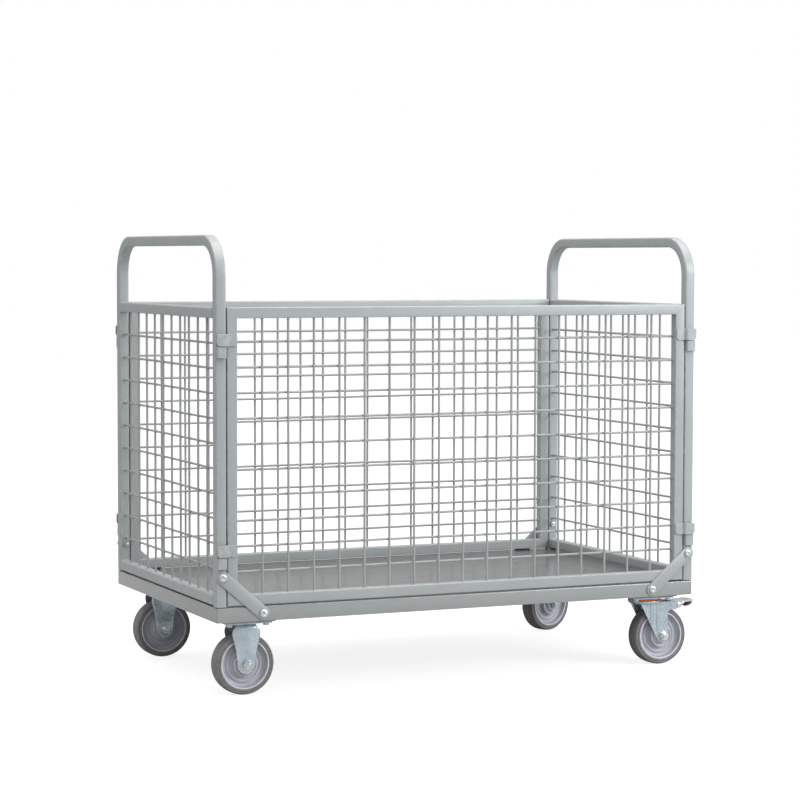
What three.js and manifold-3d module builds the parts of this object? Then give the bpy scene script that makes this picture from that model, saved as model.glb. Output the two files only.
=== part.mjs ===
// Mesh-sided platform cart: a steel deck on two fixed and two braked swivel casters, two bent
// square-tube end hoops with wire mesh, and two mesh side panels that hook on and lift off.
// Millimetres, +Z up, +X towards the swivel casters, +Y towards the rear panel.

import * as THREE from 'three';
import { mergeVertices } from 'three/addons/utils/BufferGeometryUtils.js';
import Module from 'manifold-3d';

const wasm = await Module();
wasm.setup();

// ---- driving dimensions ----

const deckLength = 1250;
const deckWidth = 750;
const skirtBottom = 180;
const deckTop = 215;
const sheet = 2; // deck sheet thickness
const skirtLip = 20; // flange turned in along the bottom of the skirt
const tube = 25; // square tube side
const tubeWall = 1.5;
const railTop = 900;
const railBottom = 218; // underside of every bottom rail
const handleTop = 1065;
const bendRadius = 94; // outside of the hoop's bends
const panelClearance = 2; // panel to hoop, each side
const gap = 0.3; // between pieces that touch
const play = 0.4; // between a bolt and its hole, all round

const wireRadius = 3.45; // of the diamond section; the same area as a round 5.5 mm wire
const wireBite = 1.1; // how far crossing wires sink into each other
const panelWires = { upright: 17, level: 10, lowest: 294.5, highest: 821 };
const endWires = { upright: 10, level: 10, lowest: 300.5, highest: 817.5 };

const hook = {
  width: 23,
  height: 28,
  bottoms: [812, 331], // underside of each hook on a stile
  reach: 10, // how far it stands out from the tubes
  sheet: 3,
  step: 3.5, // thickness of the step from the stile out to the ear
  tongue: { half: 7.5, clearance: 1.3, length: 22 },
};
const socket = { height: 26, drop: 1, out: 8, rim: 2.8, slot: [0.3, 5.4] }; // drop: gap under a hook

const braceWidth = 30;
const braceSheet = 3;
const braceTop = { x: 610, z: 284 };
const braceFoot = { x: 511, z: 198 };
const screw = { radius: 4, headRadius: 10, head: 4.5, nutRadius: 7.4, nut: 6.5, spare: 8 }; // M8

const wheelRadius = 72.5;
const wheelSegments = 20;
const tyreWidth = 43;
const coreRadius = 59.5;
const core = { hub: 28, hubHalf: 24, web: 51, webHalf: 8, rimHalf: 19, rimWall: 4 };
const tyreShoulder = { drop: 5, width: 8 };
const casterX = 534; // fixed wheel centre and swivel axis, from the middle of the deck
const casterY = 297;
const trail = 36; // swivel axis to wheel axle
const rearSwivelAngle = THREE.MathUtils.degToRad(18);
const forkInside = 25.5; // half the gap between the fork's legs
const forkSheet = 3.5;
const plateSize = { x: 115, y: 100, bottom: 170, top: 174 };
const crown = { radius: 42, bottom: 156, top: 163.4 };
const hub = { radius: 20, flange: 24, drop: 6 }; // of the top plate; its flange holds the crown up
const seal = { inner: 30, outer: 40 };
const rib = { places: [3, 20], width: 6, height: 1.5, foot: 112, slant: 0.9 }; // pressed in a swivel leg
const axleBolt = { radius: 6, washer: 12, washerSheet: 2.5, hex: 10.4, head: 7, nut: 9, spare: 13 }; // M12
const pedalPivot = { x: 82, z: 147 };
const pedalReach = 131; // pedal tip from the swivel axis
const pedalHalf = { tread: 24, shoe: 18, cheek: 3 };
const pin = { radius: 4, head: 6.5 };
const member = { wall: 3, overhang: 4 }; // the box section that carries the caster plates

// ---- colours and finishes ----

function finish(color, roughness, metalness) {
  return new THREE.MeshStandardMaterial({ color, roughness, metalness });
}

const framePaint = finish('#9ca3a4', 0.45, 0.1);
const deckPaint = finish('#96968f', 0.35, 0.1);
const zincPlate = finish('#8d9aa5', 0.35, 0.9);
const brightSteel = finish('#c9cccf', 0.25, 1);
const orangeSeal = finish('#c86e28', 0.5, 0);
const greyCore = finish('#787884', 0.5, 0);
const greyTyre = finish('#5f5a5c', 0.8, 0);

// ---- solids ----

function toSolid(geometry) {
  const bare = geometry.clone();
  bare.deleteAttribute('normal');
  bare.deleteAttribute('uv');
  const merged = mergeVertices(bare, 1e-4);
  const vertProperties = new Float32Array(merged.attributes.position.array);
  const triVerts = new Uint32Array(merged.index.array);
  return new wasm.Manifold(new wasm.Mesh({ numProp: 3, vertProperties, triVerts }));
}

function toGeometry(solid) {
  const mesh = solid.getMesh();
  const geometry = new THREE.BufferGeometry();
  geometry.setAttribute('position', new THREE.BufferAttribute(new Float32Array(mesh.vertProperties), 3));
  geometry.setIndex(new THREE.BufferAttribute(new Uint32Array(mesh.triVerts), 1));
  geometry.computeVertexNormals();
  return geometry;
}

function shaped(geometries, cuts = []) {
  let solid = toSolid(geometries[0]);
  for (const added of geometries.slice(1)) solid = solid.add(toSolid(added));
  for (const taken of cuts) solid = solid.subtract(toSolid(taken));
  return toGeometry(solid);
}

// A block between two values on each axis.
function block([x0, x1], [y0, y1], [z0, z1]) {
  const geometry = new THREE.BoxGeometry(Math.abs(x1 - x0), Math.abs(y1 - y0), Math.abs(z1 - z0));
  return geometry.translate((x0 + x1) / 2, (y0 + y1) / 2, (z0 + z1) / 2);
}

// A flat outline in X and Z, carried from one Y to another.
function slab(shape, [y0, y1], curveSegments = 6) {
  const depth = Math.abs(y1 - y0);
  const geometry = new THREE.ExtrudeGeometry(shape, { depth, bevelEnabled: false, curveSegments });
  return geometry.rotateX(Math.PI / 2).translate(0, Math.max(y0, y1), 0);
}

// A round or many-sided rod along Y.
function rodY(radius, [y0, y1], x, z, sides = 16) {
  const geometry = new THREE.CylinderGeometry(radius, radius, Math.abs(y1 - y0), sides);
  return geometry.translate(x, (y0 + y1) / 2, z);
}

// A profile of [radius, height] points turned about Z.
function turned(profile, segments = 24) {
  const points = profile.map(([radius, height]) => new THREE.Vector2(radius, height));
  return new THREE.LatheGeometry(points, segments).rotateX(Math.PI / 2);
}

function ring(outer, inner, [z0, z1], segments = 20) {
  return turned([[inner, z0], [outer, z0], [outer, z1], [inner, z1], [inner, z0]], segments);
}

// ---- assembly ----

const group = new THREE.Group();

function place(name, geometry, material, parent = group) {
  const mesh = new THREE.Mesh(geometry, material);
  mesh.name = name;
  parent.add(mesh);
  return mesh;
}

const halfLength = deckLength / 2;
const halfWidth = deckWidth / 2;
const ends = [['left', -1], ['right', 1]];
const sides = [['front', -1], ['rear', 1]];

// Deck: a pressed pan with a deep skirt and a turned-in lip, open underneath.
function makeDeck() {
  const insideX = halfLength - sheet;
  const insideY = halfWidth - sheet;
  const mouthX = halfLength - skirtLip;
  const mouthY = halfWidth - skirtLip;
  const pan = block([-halfLength, halfLength], [-halfWidth, halfWidth], [skirtBottom, deckTop]);
  const hollow = block([-insideX, insideX], [-insideY, insideY], [skirtBottom + sheet, deckTop - sheet]);
  const mouth = block([-mouthX, mouthX], [-mouthY, mouthY], [skirtBottom - 1, skirtBottom + sheet + 1]);
  const holes = ends.map(([, s]) => {
    const across = [-halfWidth - 1, halfWidth + 1];
    return rodY(screw.radius + play, across, s * braceFoot.x, braceFoot.z, 8);
  });
  place('deck_platform', shaped([pan], [hollow, mouth, ...holes]), deckPaint);

  // A box-section member under the deck at each end carries the caster plates.
  const halfMember = plateSize.x / 2 + member.overhang;
  const reach = halfWidth - skirtLip - sheet;
  const wall = member.wall;
  for (const [end, s] of ends) {
    const x = [s * casterX - halfMember, s * casterX + halfMember];
    const z = [plateSize.top + gap, deckTop - sheet - gap];
    const outer = block(x, [-reach, reach], z);
    const bore = block([x[0] + wall, x[1] - wall], [-reach - 1, reach + 1], [z[0] + wall, z[1] - wall]);
    place(`caster_cross_member_${end}`, shaped([outer], [bore]), framePaint);
  }
}

// The outline of a hoop in its own plane: an arch whose feet stand on the deck.
function archOutline(inset, footZ) {
  const half = halfWidth - inset;
  const top = handleTop - inset;
  const radius = bendRadius - inset;
  const innerHalf = halfWidth - tube + inset;
  const innerTop = handleTop - tube + inset;
  const innerRadius = bendRadius - tube + inset;
  const arch = new THREE.Shape();
  arch.moveTo(-half, footZ);
  arch.lineTo(-innerHalf, footZ);
  arch.lineTo(-innerHalf, innerTop - innerRadius);
  arch.absarc(-innerHalf + innerRadius, innerTop - innerRadius, innerRadius, Math.PI, Math.PI / 2, true);
  arch.lineTo(innerHalf - innerRadius, innerTop);
  arch.absarc(innerHalf - innerRadius, innerTop - innerRadius, innerRadius, Math.PI / 2, 0, true);
  arch.lineTo(innerHalf, footZ);
  arch.lineTo(half, footZ);
  arch.lineTo(half, top - radius);
  arch.absarc(half - radius, top - radius, radius, 0, Math.PI / 2, false);
  arch.lineTo(-half + radius, top);
  arch.absarc(-half + radius, top - radius, radius, Math.PI / 2, Math.PI, false);
  arch.lineTo(-half, footZ);
  return arch;
}

// The arch is drawn in Y and Z and carried from one X to another.
function archSlab(shape, [x0, x1]) {
  return slab(shape, [-x1, -x0], 5).rotateZ(Math.PI / 2);
}

// Hoop: one length of square tube bent twice, with a strap socket for every panel hook.
function makeHoops() {
  for (const [end, s] of ends) {
    const x = s > 0 ? [halfLength - tube, halfLength] : [-halfLength, -halfLength + tube];
    const bore = [x[0] + tubeWall, x[1] - tubeWall];
    const outside = archSlab(archOutline(0, deckTop + gap), x);
    const inside = archSlab(archOutline(tubeWall, deckTop - 5), bore);
    const added = [shaped([outside], [inside])];
    const cuts = [];
    for (const [, t] of sides) {
      const face = t * halfWidth;
      for (const hookBottom of hook.bottoms) {
        const top = hookBottom - socket.drop;
        const z = [top - socket.height, top];
        const middle = s * (halfLength - tube / 2);
        const half = hook.width / 2;
        const slotHalf = half - socket.rim;
        added.push(block([middle - half, middle + half], [face - t * 0.2, face + t * socket.out], z));
        const slotDepth = socket.slot.map((depth) => face + t * depth);
        cuts.push(block([middle - slotHalf, middle + slotHalf], slotDepth, [z[0] - 1, z[1] + 1]));
      }
      const boltSpan = [face - t * (tube + 1), face + t];
      cuts.push(rodY(screw.radius + play, boltSpan, s * braceTop.x, braceTop.z, 8));
    }
    place(`end_hoop_${end}`, shaped(added, cuts), framePaint);
  }
}

// A square tube with open ends along X, Y or Z.
function squareTube(x, y, z, axis) {
  const inner = [x, y, z].map((range, i) =>
    (i === axis ? [range[0] - 1, range[1] + 1] : [range[0] + tubeWall, range[1] - tubeWall]));
  return shaped([block(x, y, z)], [block(...inner)]);
}

// A welded mesh. Each wire has a diamond section as heavy as the round wire, and its ridges sink
// into the wires that it crosses. The uprights lie outside the level wires.
function wireMesh({ upright, level, lowest, highest }, half, [z0, z1]) {
  const pitch = (2 * half) / (upright + 1);
  const depth = wireRadius - wireBite / 2;
  const bar = (length) => new THREE.CylinderGeometry(wireRadius, wireRadius, length, 4);
  const bars = [];
  for (let i = 1; i <= upright; i += 1) {
    const wire = bar(z1 - z0 - 2 * gap).rotateX(Math.PI / 2);
    bars.push(wire.translate(-half + i * pitch, -depth, (z0 + z1) / 2));
  }
  for (let i = 0; i < level; i += 1) {
    const wire = bar(2 * (half - gap)).rotateZ(Math.PI / 2);
    bars.push(wire.translate(0, depth, THREE.MathUtils.lerp(lowest, highest, i / (level - 1))));
  }
  return shaped(bars);
}

// End frames: the two cross rails and the mesh of each hoop.
function makeEndFrames() {
  const inside = halfWidth - tube;
  for (const [end, s] of ends) {
    const x = s > 0 ? [halfLength - tube, halfLength] : [-halfLength, -halfLength + tube];
    const y = [-inside + gap, inside - gap];
    place(`end_top_rail_${end}`, squareTube(x, y, [railTop - tube, railTop], 1), framePaint);
    place(`end_bottom_rail_${end}`, squareTube(x, y, [railBottom, railBottom + tube], 1), framePaint);
    const mesh = wireMesh(endWires, inside, [railBottom + tube, railTop - tube]);
    mesh.rotateZ((s * Math.PI) / 2).translate(s * (halfLength - tube / 2), 0, 0);
    place(`end_mesh_${end}`, mesh, framePaint);
  }
}

// Hook: a strap on the stile that steps out over the hoop and turns down into its socket.
// Drawn for the front right corner; sx and sy send it to the other corners.
function hookParts(sx, sy, bottom) {
  const face = halfWidth;
  const stileSide = halfLength - tube - panelClearance;
  const uprightMiddle = halfLength - tube / 2;
  const top = bottom + hook.height;
  const out = face + hook.reach;
  const { half, clearance, length } = hook.tongue;
  const tongueX = [uprightMiddle - half, uprightMiddle + half];
  const tongueFace = face + clearance;
  const parts = [
    [[stileSide - hook.width, stileSide], [face - 0.5, face + hook.sheet], [bottom, top]],
    [[stileSide - 0.5, stileSide + hook.step], [face + 0.5, out], [bottom, top]],
    [[stileSide, uprightMiddle + hook.width / 2 + 1], [out - hook.sheet, out], [bottom, top]],
    [tongueX, [tongueFace, out], [bottom, bottom + hook.sheet]],
    [tongueX, [tongueFace, tongueFace + hook.sheet], [bottom - length, bottom + 1]],
  ];
  return parts.map(([x, y, z]) => block(x.map((v) => v * sx), y.map((v) => v * sy), z));
}

// Side panels: four tubes and a mesh, hung on the hoops by four hooks.
function makePanels() {
  const outside = halfLength - tube - panelClearance;
  const inside = outside - tube;
  for (const [side, t] of sides) {
    const y = t > 0 ? [halfWidth - tube, halfWidth] : [-halfWidth, -halfWidth + tube];
    const rail = [-inside + gap, inside - gap];
    place(`${side}_panel_top_rail`, squareTube(rail, y, [railTop - tube, railTop], 0), framePaint);
    place(`${side}_panel_bottom_rail`, squareTube(rail, y, [railBottom, railBottom + tube], 0), framePaint);
    for (const [end, s] of ends) {
      const x = s > 0 ? [inside, outside] : [-outside, -inside];
      const stile = squareTube(x, y, [railBottom, railTop], 2);
      const hooks = hook.bottoms.flatMap((bottom) => hookParts(s, t, bottom));
      place(`${side}_panel_stile_${end}`, shaped([stile, ...hooks]), framePaint);
    }
    const mesh = wireMesh(panelWires, inside, [railBottom + tube, railTop - tube]);
    if (t > 0) mesh.rotateZ(Math.PI);
    mesh.translate(0, t * (halfWidth - tube / 2), 0);
    place(`${side}_panel_mesh`, mesh, framePaint);
  }
}

// Corner braces: a flat bar with round ends from hoop to skirt, held by two screws.
function makeBraces() {
  const run = Math.hypot(braceTop.x - braceFoot.x, braceTop.z - braceFoot.z);
  const slope = Math.atan2(braceTop.z - braceFoot.z, braceTop.x - braceFoot.x);
  const half = braceWidth / 2;
  const outline = new THREE.Shape();
  outline.moveTo(0, -half);
  outline.lineTo(run, -half);
  outline.absarc(run, 0, half, -Math.PI / 2, Math.PI / 2, false);
  outline.lineTo(0, half);
  outline.absarc(0, 0, half, Math.PI / 2, (Math.PI * 3) / 2, false);
  const places = [['upper', braceTop, tube], ['lower', braceFoot, sheet]];

  for (const [side, t] of sides) {
    for (const [end, s] of ends) {
      const face = halfWidth + gap;
      const depth = [t * face, t * (face + braceSheet)];
      const bar = slab(outline, depth, 4).rotateY(-slope).translate(braceFoot.x, 0, braceFoot.z);
      const corner = s > 0 ? bar : slab(outline, depth, 4).rotateY(slope + Math.PI);
      if (s < 0) corner.translate(-braceFoot.x, 0, braceFoot.z);
      const holes = places.map(([, at]) => {
        const through = [t * (face - 1), t * (face + braceSheet + 1)];
        return rodY(screw.radius + play, through, s * at.x, at.z, 8);
      });
      place(`corner_brace_${side}_${end}`, shaped([corner], holes), framePaint);

      for (const [level, at, grip] of places) {
        const outer = face + braceSheet + gap;
        const inner = halfWidth - grip - gap;
        const x = s * at.x;
        const head = rodY(screw.headRadius, [t * outer, t * (outer + screw.head)], x, at.z, 12);
        const shank = rodY(screw.radius, [t * (inner - screw.spare), t * (outer + 2)], x, at.z, 8);
        const nut = rodY(screw.nutRadius, [t * (inner - screw.nut), t * inner], x, at.z, 6);
        place(`brace_screw_${side}_${end}_${level}`, shaped([head, shank, nut]), brightSteel);
      }
    }
  }
}

// The sides of a fork leg from the crown down to the axle, mirrored about the axle.
function fixedForkOutline() {
  const lobe = 22;
  const outline = new THREE.Shape();
  outline.moveTo(-lobe, plateSize.bottom);
  outline.quadraticCurveTo(-lobe - 1, 164, -30, 158);
  outline.quadraticCurveTo(-36, 148, -32, 132);
  outline.lineTo(-25, 104);
  outline.lineTo(-lobe, wheelRadius);
  outline.absarc(0, wheelRadius, lobe, Math.PI, 0, false);
  outline.lineTo(25, 104);
  outline.lineTo(32, 132);
  outline.quadraticCurveTo(36, 148, 30, 158);
  outline.quadraticCurveTo(lobe + 1, 164, lobe, plateSize.bottom);
  return outline;
}

// The swivel fork's leg: a slanted leading edge, an upright trailing edge, and an ear for the pedal.
function swivelForkOutline() {
  const lobe = 17;
  const ear = 9;
  const outline = new THREE.Shape();
  outline.moveTo(-27, crown.bottom + 2);
  outline.lineTo(trail - lobe * 0.93, wheelRadius - lobe * 0.36);
  outline.absarc(trail, wheelRadius, lobe, Math.PI * 1.12, 0, false);
  outline.lineTo(trail + lobe - 1.5, 132);
  outline.quadraticCurveTo(trail + lobe, 141, pedalPivot.x - 4, pedalPivot.z - ear + 1);
  outline.absarc(pedalPivot.x, pedalPivot.z, ear, -Math.PI * 0.6, Math.PI * 0.4, false);
  outline.lineTo(60, crown.bottom + 2);
  return outline;
}

function wheelCore() {
  const bore = axleBolt.radius + 0.5;
  const rim = coreRadius - core.rimWall;
  const side = [
    [bore, core.hubHalf], [core.hub, core.hubHalf], [core.hub, core.webHalf], [core.web, core.webHalf],
    [rim, core.rimHalf], [coreRadius, core.rimHalf],
  ];
  const otherSide = side.map(([radius, y]) => [radius, -y]);
  const profile = [...otherSide, ...side.toReversed(), otherSide[0]];
  return turned(profile, wheelSegments).rotateX(Math.PI / 2).rotateY(Math.PI / wheelSegments);
}

// The tyre's flats, not its corners, lie at the wheel's radius, and one flat meets the floor.
function tyre() {
  const outer = wheelRadius / Math.cos(Math.PI / wheelSegments);
  const shoulder = outer - tyreShoulder.drop;
  const half = tyreWidth / 2;
  const tread = half - tyreShoulder.width;
  const profile = [
    [coreRadius + gap, -half], [shoulder, -half], [outer, -tread], [outer, tread],
    [shoulder, half], [coreRadius + gap, half], [coreRadius + gap, -half],
  ];
  return turned(profile, wheelSegments).rotateX(Math.PI / 2).rotateY(Math.PI / wheelSegments);
}

// A hex bolt through both legs, with its nut towards -Y.
function axle() {
  const leg = forkInside + forkSheet + gap;
  const washer = leg + axleBolt.washerSheet;
  return shaped([
    rodY(axleBolt.radius, [-washer - axleBolt.spare, washer + 2], 0, 0, 10),
    rodY(axleBolt.washer, [-washer, -leg], 0, 0, 12),
    rodY(axleBolt.washer, [leg, washer], 0, 0, 12),
    rodY(axleBolt.hex, [-washer - axleBolt.nut, -washer + 0.5], 0, 0, 6),
    rodY(axleBolt.hex, [washer - 0.5, washer + axleBolt.head], 0, 0, 6),
  ]);
}

function placeWheel(name, parent, x) {
  const parts = [['core', wheelCore(), greyCore], ['tyre', tyre(), greyTyre], ['axle', axle(), zincPlate]];
  for (const [part, geometry, material] of parts) {
    place(`${name}_${part}`, geometry.translate(x, 0, wheelRadius), material, parent);
  }
}

function forkLegs(outline, [holeX, holeZ], curveSegments) {
  const legs = [-1, 1].map((t) =>
    slab(outline, [t * forkInside, t * (forkInside + forkSheet)], curveSegments));
  const across = [-forkInside - forkSheet - 1, forkInside + forkSheet + 1];
  return { legs, hole: rodY(axleBolt.radius + 0.5, across, holeX, holeZ, 10) };
}

function mountingPlate() {
  const half = [plateSize.x / 2, plateSize.y / 2];
  return block([-half[0], half[0]], [-half[1], half[1]], [plateSize.bottom, plateSize.top]);
}

// Fixed casters, under the left end.
function makeFixedCasters() {
  for (const [side, t] of sides) {
    const caster = new THREE.Group();
    caster.position.set(-casterX, t * casterY, 0);
    group.add(caster);
    const name = `fixed_caster_${side}`;
    const outside = forkInside + forkSheet;
    const web = block([-22, 22], [-outside, outside], [plateSize.bottom - forkSheet, plateSize.bottom + 0.5]);
    const { legs, hole } = forkLegs(fixedForkOutline(), [0, wheelRadius], 4);
    place(`${name}_fork`, shaped([mountingPlate(), web, ...legs], [hole]), zincPlate, caster);
    placeWheel(name, caster, 0);
  }
}

// The pedal: a folded tread on two cheeks that pivot between the fork's ears, with a shoe that
// swings down to the tyre when the tread is pressed.
function pedal() {
  const nose = pedalReach;
  const tread = new THREE.Shape();
  tread.moveTo(72, 155);
  tread.lineTo(nose - 5, 159);
  tread.quadraticCurveTo(nose, 159, nose, 154);
  tread.quadraticCurveTo(nose, 147, nose - 6, 146);
  tread.lineTo(106, 142);
  tread.lineTo(106, 145);
  tread.lineTo(nose - 7, 149);
  tread.quadraticCurveTo(nose - 3, 150, nose - 3, 154);
  tread.quadraticCurveTo(nose - 3, 156, nose - 5, 156);
  tread.lineTo(72, 152);
  const cheek = new THREE.Shape();
  cheek.moveTo(73, 154);
  cheek.lineTo(75, 144);
  cheek.lineTo(79, 139);
  cheek.lineTo(84, 139);
  cheek.lineTo(92, 144);
  cheek.lineTo(104, 155);
  const shoe = new THREE.Shape();
  shoe.moveTo(75, 154);
  shoe.lineTo(76, 136);
  shoe.lineTo(79.2, 133.6);
  shoe.lineTo(83, 136);
  shoe.lineTo(88, 155);
  const half = pedalHalf.tread;
  const cheeks = [-1, 1].map((t) => slab(cheek, [t * (half - pedalHalf.cheek), t * half], 2));
  const bore = rodY(pin.radius + play, [-half - 1, half + 1], pedalPivot.x, pedalPivot.z, 8);
  const shoeSlab = slab(shoe, [-pedalHalf.shoe, pedalHalf.shoe], 2);
  return shaped([slab(tread, [-half, half], 3), shoeSlab, ...cheeks], [bore]);
}

// Swivel casters with brakes, under the right end.
function makeSwivelCasters() {
  const outside = forkInside + forkSheet;
  for (const [side, t] of sides) {
    const caster = new THREE.Group();
    caster.position.set(casterX, t * casterY, 0);
    group.add(caster);
    const name = `swivel_caster_${side}`;
    const foot = crown.bottom - hub.drop;
    const hubSolid = turned([
      [0, foot], [hub.flange, foot], [hub.flange, crown.bottom - gap], [hub.radius, crown.bottom - gap],
      [hub.radius, plateSize.bottom + 1], [0, plateSize.bottom + 1],
    ], 16);
    place(`${name}_top_plate`, shaped([mountingPlate(), hubSolid]), zincPlate, caster);

    const turning = new THREE.Group();
    turning.rotation.z = t > 0 ? rearSwivelAngle : 0;
    caster.add(turning);
    const sealRing = ring(seal.outer, seal.inner, [crown.top + gap, plateSize.bottom - gap]);
    place(`${name}_seal_ring`, sealRing, orangeSeal, turning);

    const crownRing = ring(crown.radius, hub.radius + 1, [crown.bottom, crown.top]);
    const { legs, hole } = forkLegs(swivelForkOutline(), [trail, wheelRadius], 4);
    const ribs = [-1, 1].flatMap((w) => rib.places.map((x) => {
      const depth = [w * (outside - 0.5), w * (outside + rib.height)];
      return block([x, x + rib.width], depth, [rib.foot - x * rib.slant, crown.bottom]);
    }));
    const earSpan = [-outside - 1, outside + 1];
    const pinHole = rodY(pin.radius + play, earSpan, pedalPivot.x, pedalPivot.z, 8);
    place(`${name}_fork`, shaped([crownRing, ...legs, ...ribs], [hole, pinHole]), zincPlate, turning);
    placeWheel(name, turning, trail);
    place(`${name}_brake_pedal`, pedal(), brightSteel, turning);

    const rivet = shaped([
      rodY(pin.radius, [-outside - 1.5, outside + 1.5], pedalPivot.x, pedalPivot.z, 8),
      rodY(pin.head, [outside + gap, outside + 2.5], pedalPivot.x, pedalPivot.z, 8),
      rodY(pin.head, [-outside - 2.5, -outside - gap], pedalPivot.x, pedalPivot.z, 8),
    ]);
    place(`${name}_pivot_pin`, rivet, zincPlate, turning);
  }
}

makeDeck();
makeHoops();
makeEndFrames();
makePanels();
makeBraces();
makeFixedCasters();
makeSwivelCasters();

// The pedals reach past the deck, so the origin moves to the middle of the whole cart.
const extent = new THREE.Box3().setFromObject(group, true);
group.position.x = -(extent.min.x + extent.max.x) / 2;

export default group;
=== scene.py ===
import math

import bmesh
import bpy
import numpy as np
from mathutils import Matrix, Vector


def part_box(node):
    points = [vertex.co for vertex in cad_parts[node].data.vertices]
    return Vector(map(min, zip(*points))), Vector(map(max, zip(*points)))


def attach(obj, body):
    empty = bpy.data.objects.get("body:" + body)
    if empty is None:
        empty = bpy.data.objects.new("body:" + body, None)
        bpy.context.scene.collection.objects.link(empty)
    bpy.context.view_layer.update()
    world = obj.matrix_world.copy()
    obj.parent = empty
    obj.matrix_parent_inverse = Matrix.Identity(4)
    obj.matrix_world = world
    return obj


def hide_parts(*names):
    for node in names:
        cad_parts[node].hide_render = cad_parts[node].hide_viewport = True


# A mesh-sided platform cart, in metres, in the frame's own coordinates: X along the deck, Y across.
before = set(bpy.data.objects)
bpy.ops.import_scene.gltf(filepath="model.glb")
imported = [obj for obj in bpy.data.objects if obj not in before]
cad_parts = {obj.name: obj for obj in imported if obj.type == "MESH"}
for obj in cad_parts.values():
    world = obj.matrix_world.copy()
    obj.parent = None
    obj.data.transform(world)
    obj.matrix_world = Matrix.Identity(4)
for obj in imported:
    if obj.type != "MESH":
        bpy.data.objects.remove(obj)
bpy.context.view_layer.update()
mm = 0.001
smoothAngle = 34  # degrees; sharper edges are shaded as corners


# Every corner of a line of points gives way to a quadratic curve that leaves and rejoins the line at
# `reach` from the corner: (1-t)^2 a + 2t(1-t) corner + t^2 b. Also gives a mask, sin(pi t), that is
# one at the middle of each curve and zero on the straights.
def softened(points, reach, steps=4, closed=True):
    corner = np.asarray(points, float)
    reach = np.array(np.broadcast_to(reach, len(corner)), float)
    if not closed:
        reach[[0, -1]] = 0
    back, ahead = np.roll(corner, 1, 0) - corner, np.roll(corner, -1, 0) - corner
    backLength = np.linalg.norm(back, axis=1)
    aheadLength = np.linalg.norm(ahead, axis=1)
    start = corner + back * (np.minimum(reach / backLength, 0.46))[:, None]
    end = corner + ahead * (np.minimum(reach / aheadLength, 0.46))[:, None]
    t = np.linspace(0, 1, steps + 1)[None, :, None]
    curve = (1 - t) ** 2 * start[:, None] + 2 * t * (1 - t) * corner[:, None] + t ** 2 * end[:, None]
    curve = curve.reshape(-1, corner.shape[1])
    mask = np.tile(np.sin(np.pi * t[0, :, 0]), len(corner))
    if not closed:
        return curve[steps:-steps], mask[steps:-steps]
    return curve, mask


# A skin over loops of points with the shape (rows, points, 3): each point joins its neighbours in its
# own loop and in the next, and flat caps close the first and last loop unless the rows close too.
def skin(loops, mask=0.0, closedRows=False):
    rows, columns = loops.shape[:2]
    index = np.arange(rows * columns).reshape(rows, columns)
    beside = np.roll(index, -1, 1)
    if closedRows:
        above, aboveBeside = np.roll(index, -1, 0), np.roll(beside, -1, 0)
        caps = []
    else:
        above, aboveBeside = index[1:], beside[1:]
        index, beside = index[:-1], beside[:-1]
        caps = [index[0][::-1].tolist(), above[-1].tolist()]
    quads = np.stack([index, beside, aboveBeside, above], -1).reshape(-1, 4)
    mask = np.array(np.broadcast_to(mask, (rows, columns)), float)
    return {"points": loops.reshape(-1, 3), "quads": quads, "caps": caps, "mask": mask.reshape(-1)}


# Turns a part about Z, mirrors it and moves it: point -> R(angle) (point * mirror) + at.
def placed(part, at=(0, 0, 0), angle=0.0, mirror=(1, 1, 1)):
    c, s = math.cos(angle), math.sin(angle)
    turn = np.array([[c, s, 0], [-s, c, 0], [0, 0, 1]])
    return {**part, "points": (part["points"] * np.array(mirror)) @ turn + np.array(at)}


# The same small part at many places: every point plus every offset.
def repeated(part, offsets):
    offsets = np.asarray(offsets, float)
    count, size = len(offsets), len(part["points"])
    shift = np.arange(count) * size
    caps = [(np.array(cap) + s).tolist() for s in shift for cap in part["caps"]]
    return {
        "points": (part["points"][None] + offsets[:, None]).reshape(-1, 3),
        "quads": (part["quads"][None] + shift[:, None, None]).reshape(-1, 4),
        "caps": caps,
        "mask": np.tile(part["mask"], count),
    }


# A square tube's section: a square whose corners are softened, as (across, along the other side).
def squareSection(side, corner):
    half = side / 2
    square = [(half, half), (-half, half), (-half, -half), (half, -half)]
    return softened(square, corner)


# A section carried along a flat path: point = path + section_0 * outward + section_1 * normal, where
# outward lies in the path's plane, halves the angle at each bend and is lengthened by 1 / cos of half
# the bend, so that straight runs keep their size round a mitre.
def carried(section, mask, path, normal, closed=False):
    path = np.asarray(path, float)
    ahead = np.roll(path, -1, 0) - path
    if not closed:
        ahead[-1] = ahead[-2]
    ahead /= np.linalg.norm(ahead, axis=1, keepdims=True)
    behind = np.roll(ahead, 1, 0)
    if not closed:
        behind[0] = ahead[0]
    normal = np.asarray(normal, float)
    middle = ahead + behind
    middle /= np.linalg.norm(middle, axis=1, keepdims=True)
    stretch = 1 / np.sum(middle * ahead, axis=1, keepdims=True)
    outward = np.cross(middle, normal) * stretch
    loops = path[:, None] + section[None, :, :1] * outward[:, None] + section[None, :, 1:] * normal
    return skin(loops, mask[None, :], closed)


# A profile of (radius, height) turned round an axis along Z or Y: x = r cos a, y = r sin a.
def turned(profile, mask, segments, axis="z", closed=True):
    profile = np.asarray(profile, float)
    a = np.linspace(0, 2 * np.pi, segments, endpoint=False)
    r, h = profile[:, :1], np.repeat(profile[:, 1:], segments, 1)
    x, y = r * np.cos(a), r * np.sin(a)
    loops = np.stack([x, y, h] if axis == "z" else [x, h, y], -1)
    mask = np.broadcast_to(np.asarray(mask, float).reshape(-1, 1), loops.shape[:2])
    return skin(loops, mask, closed)


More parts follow.
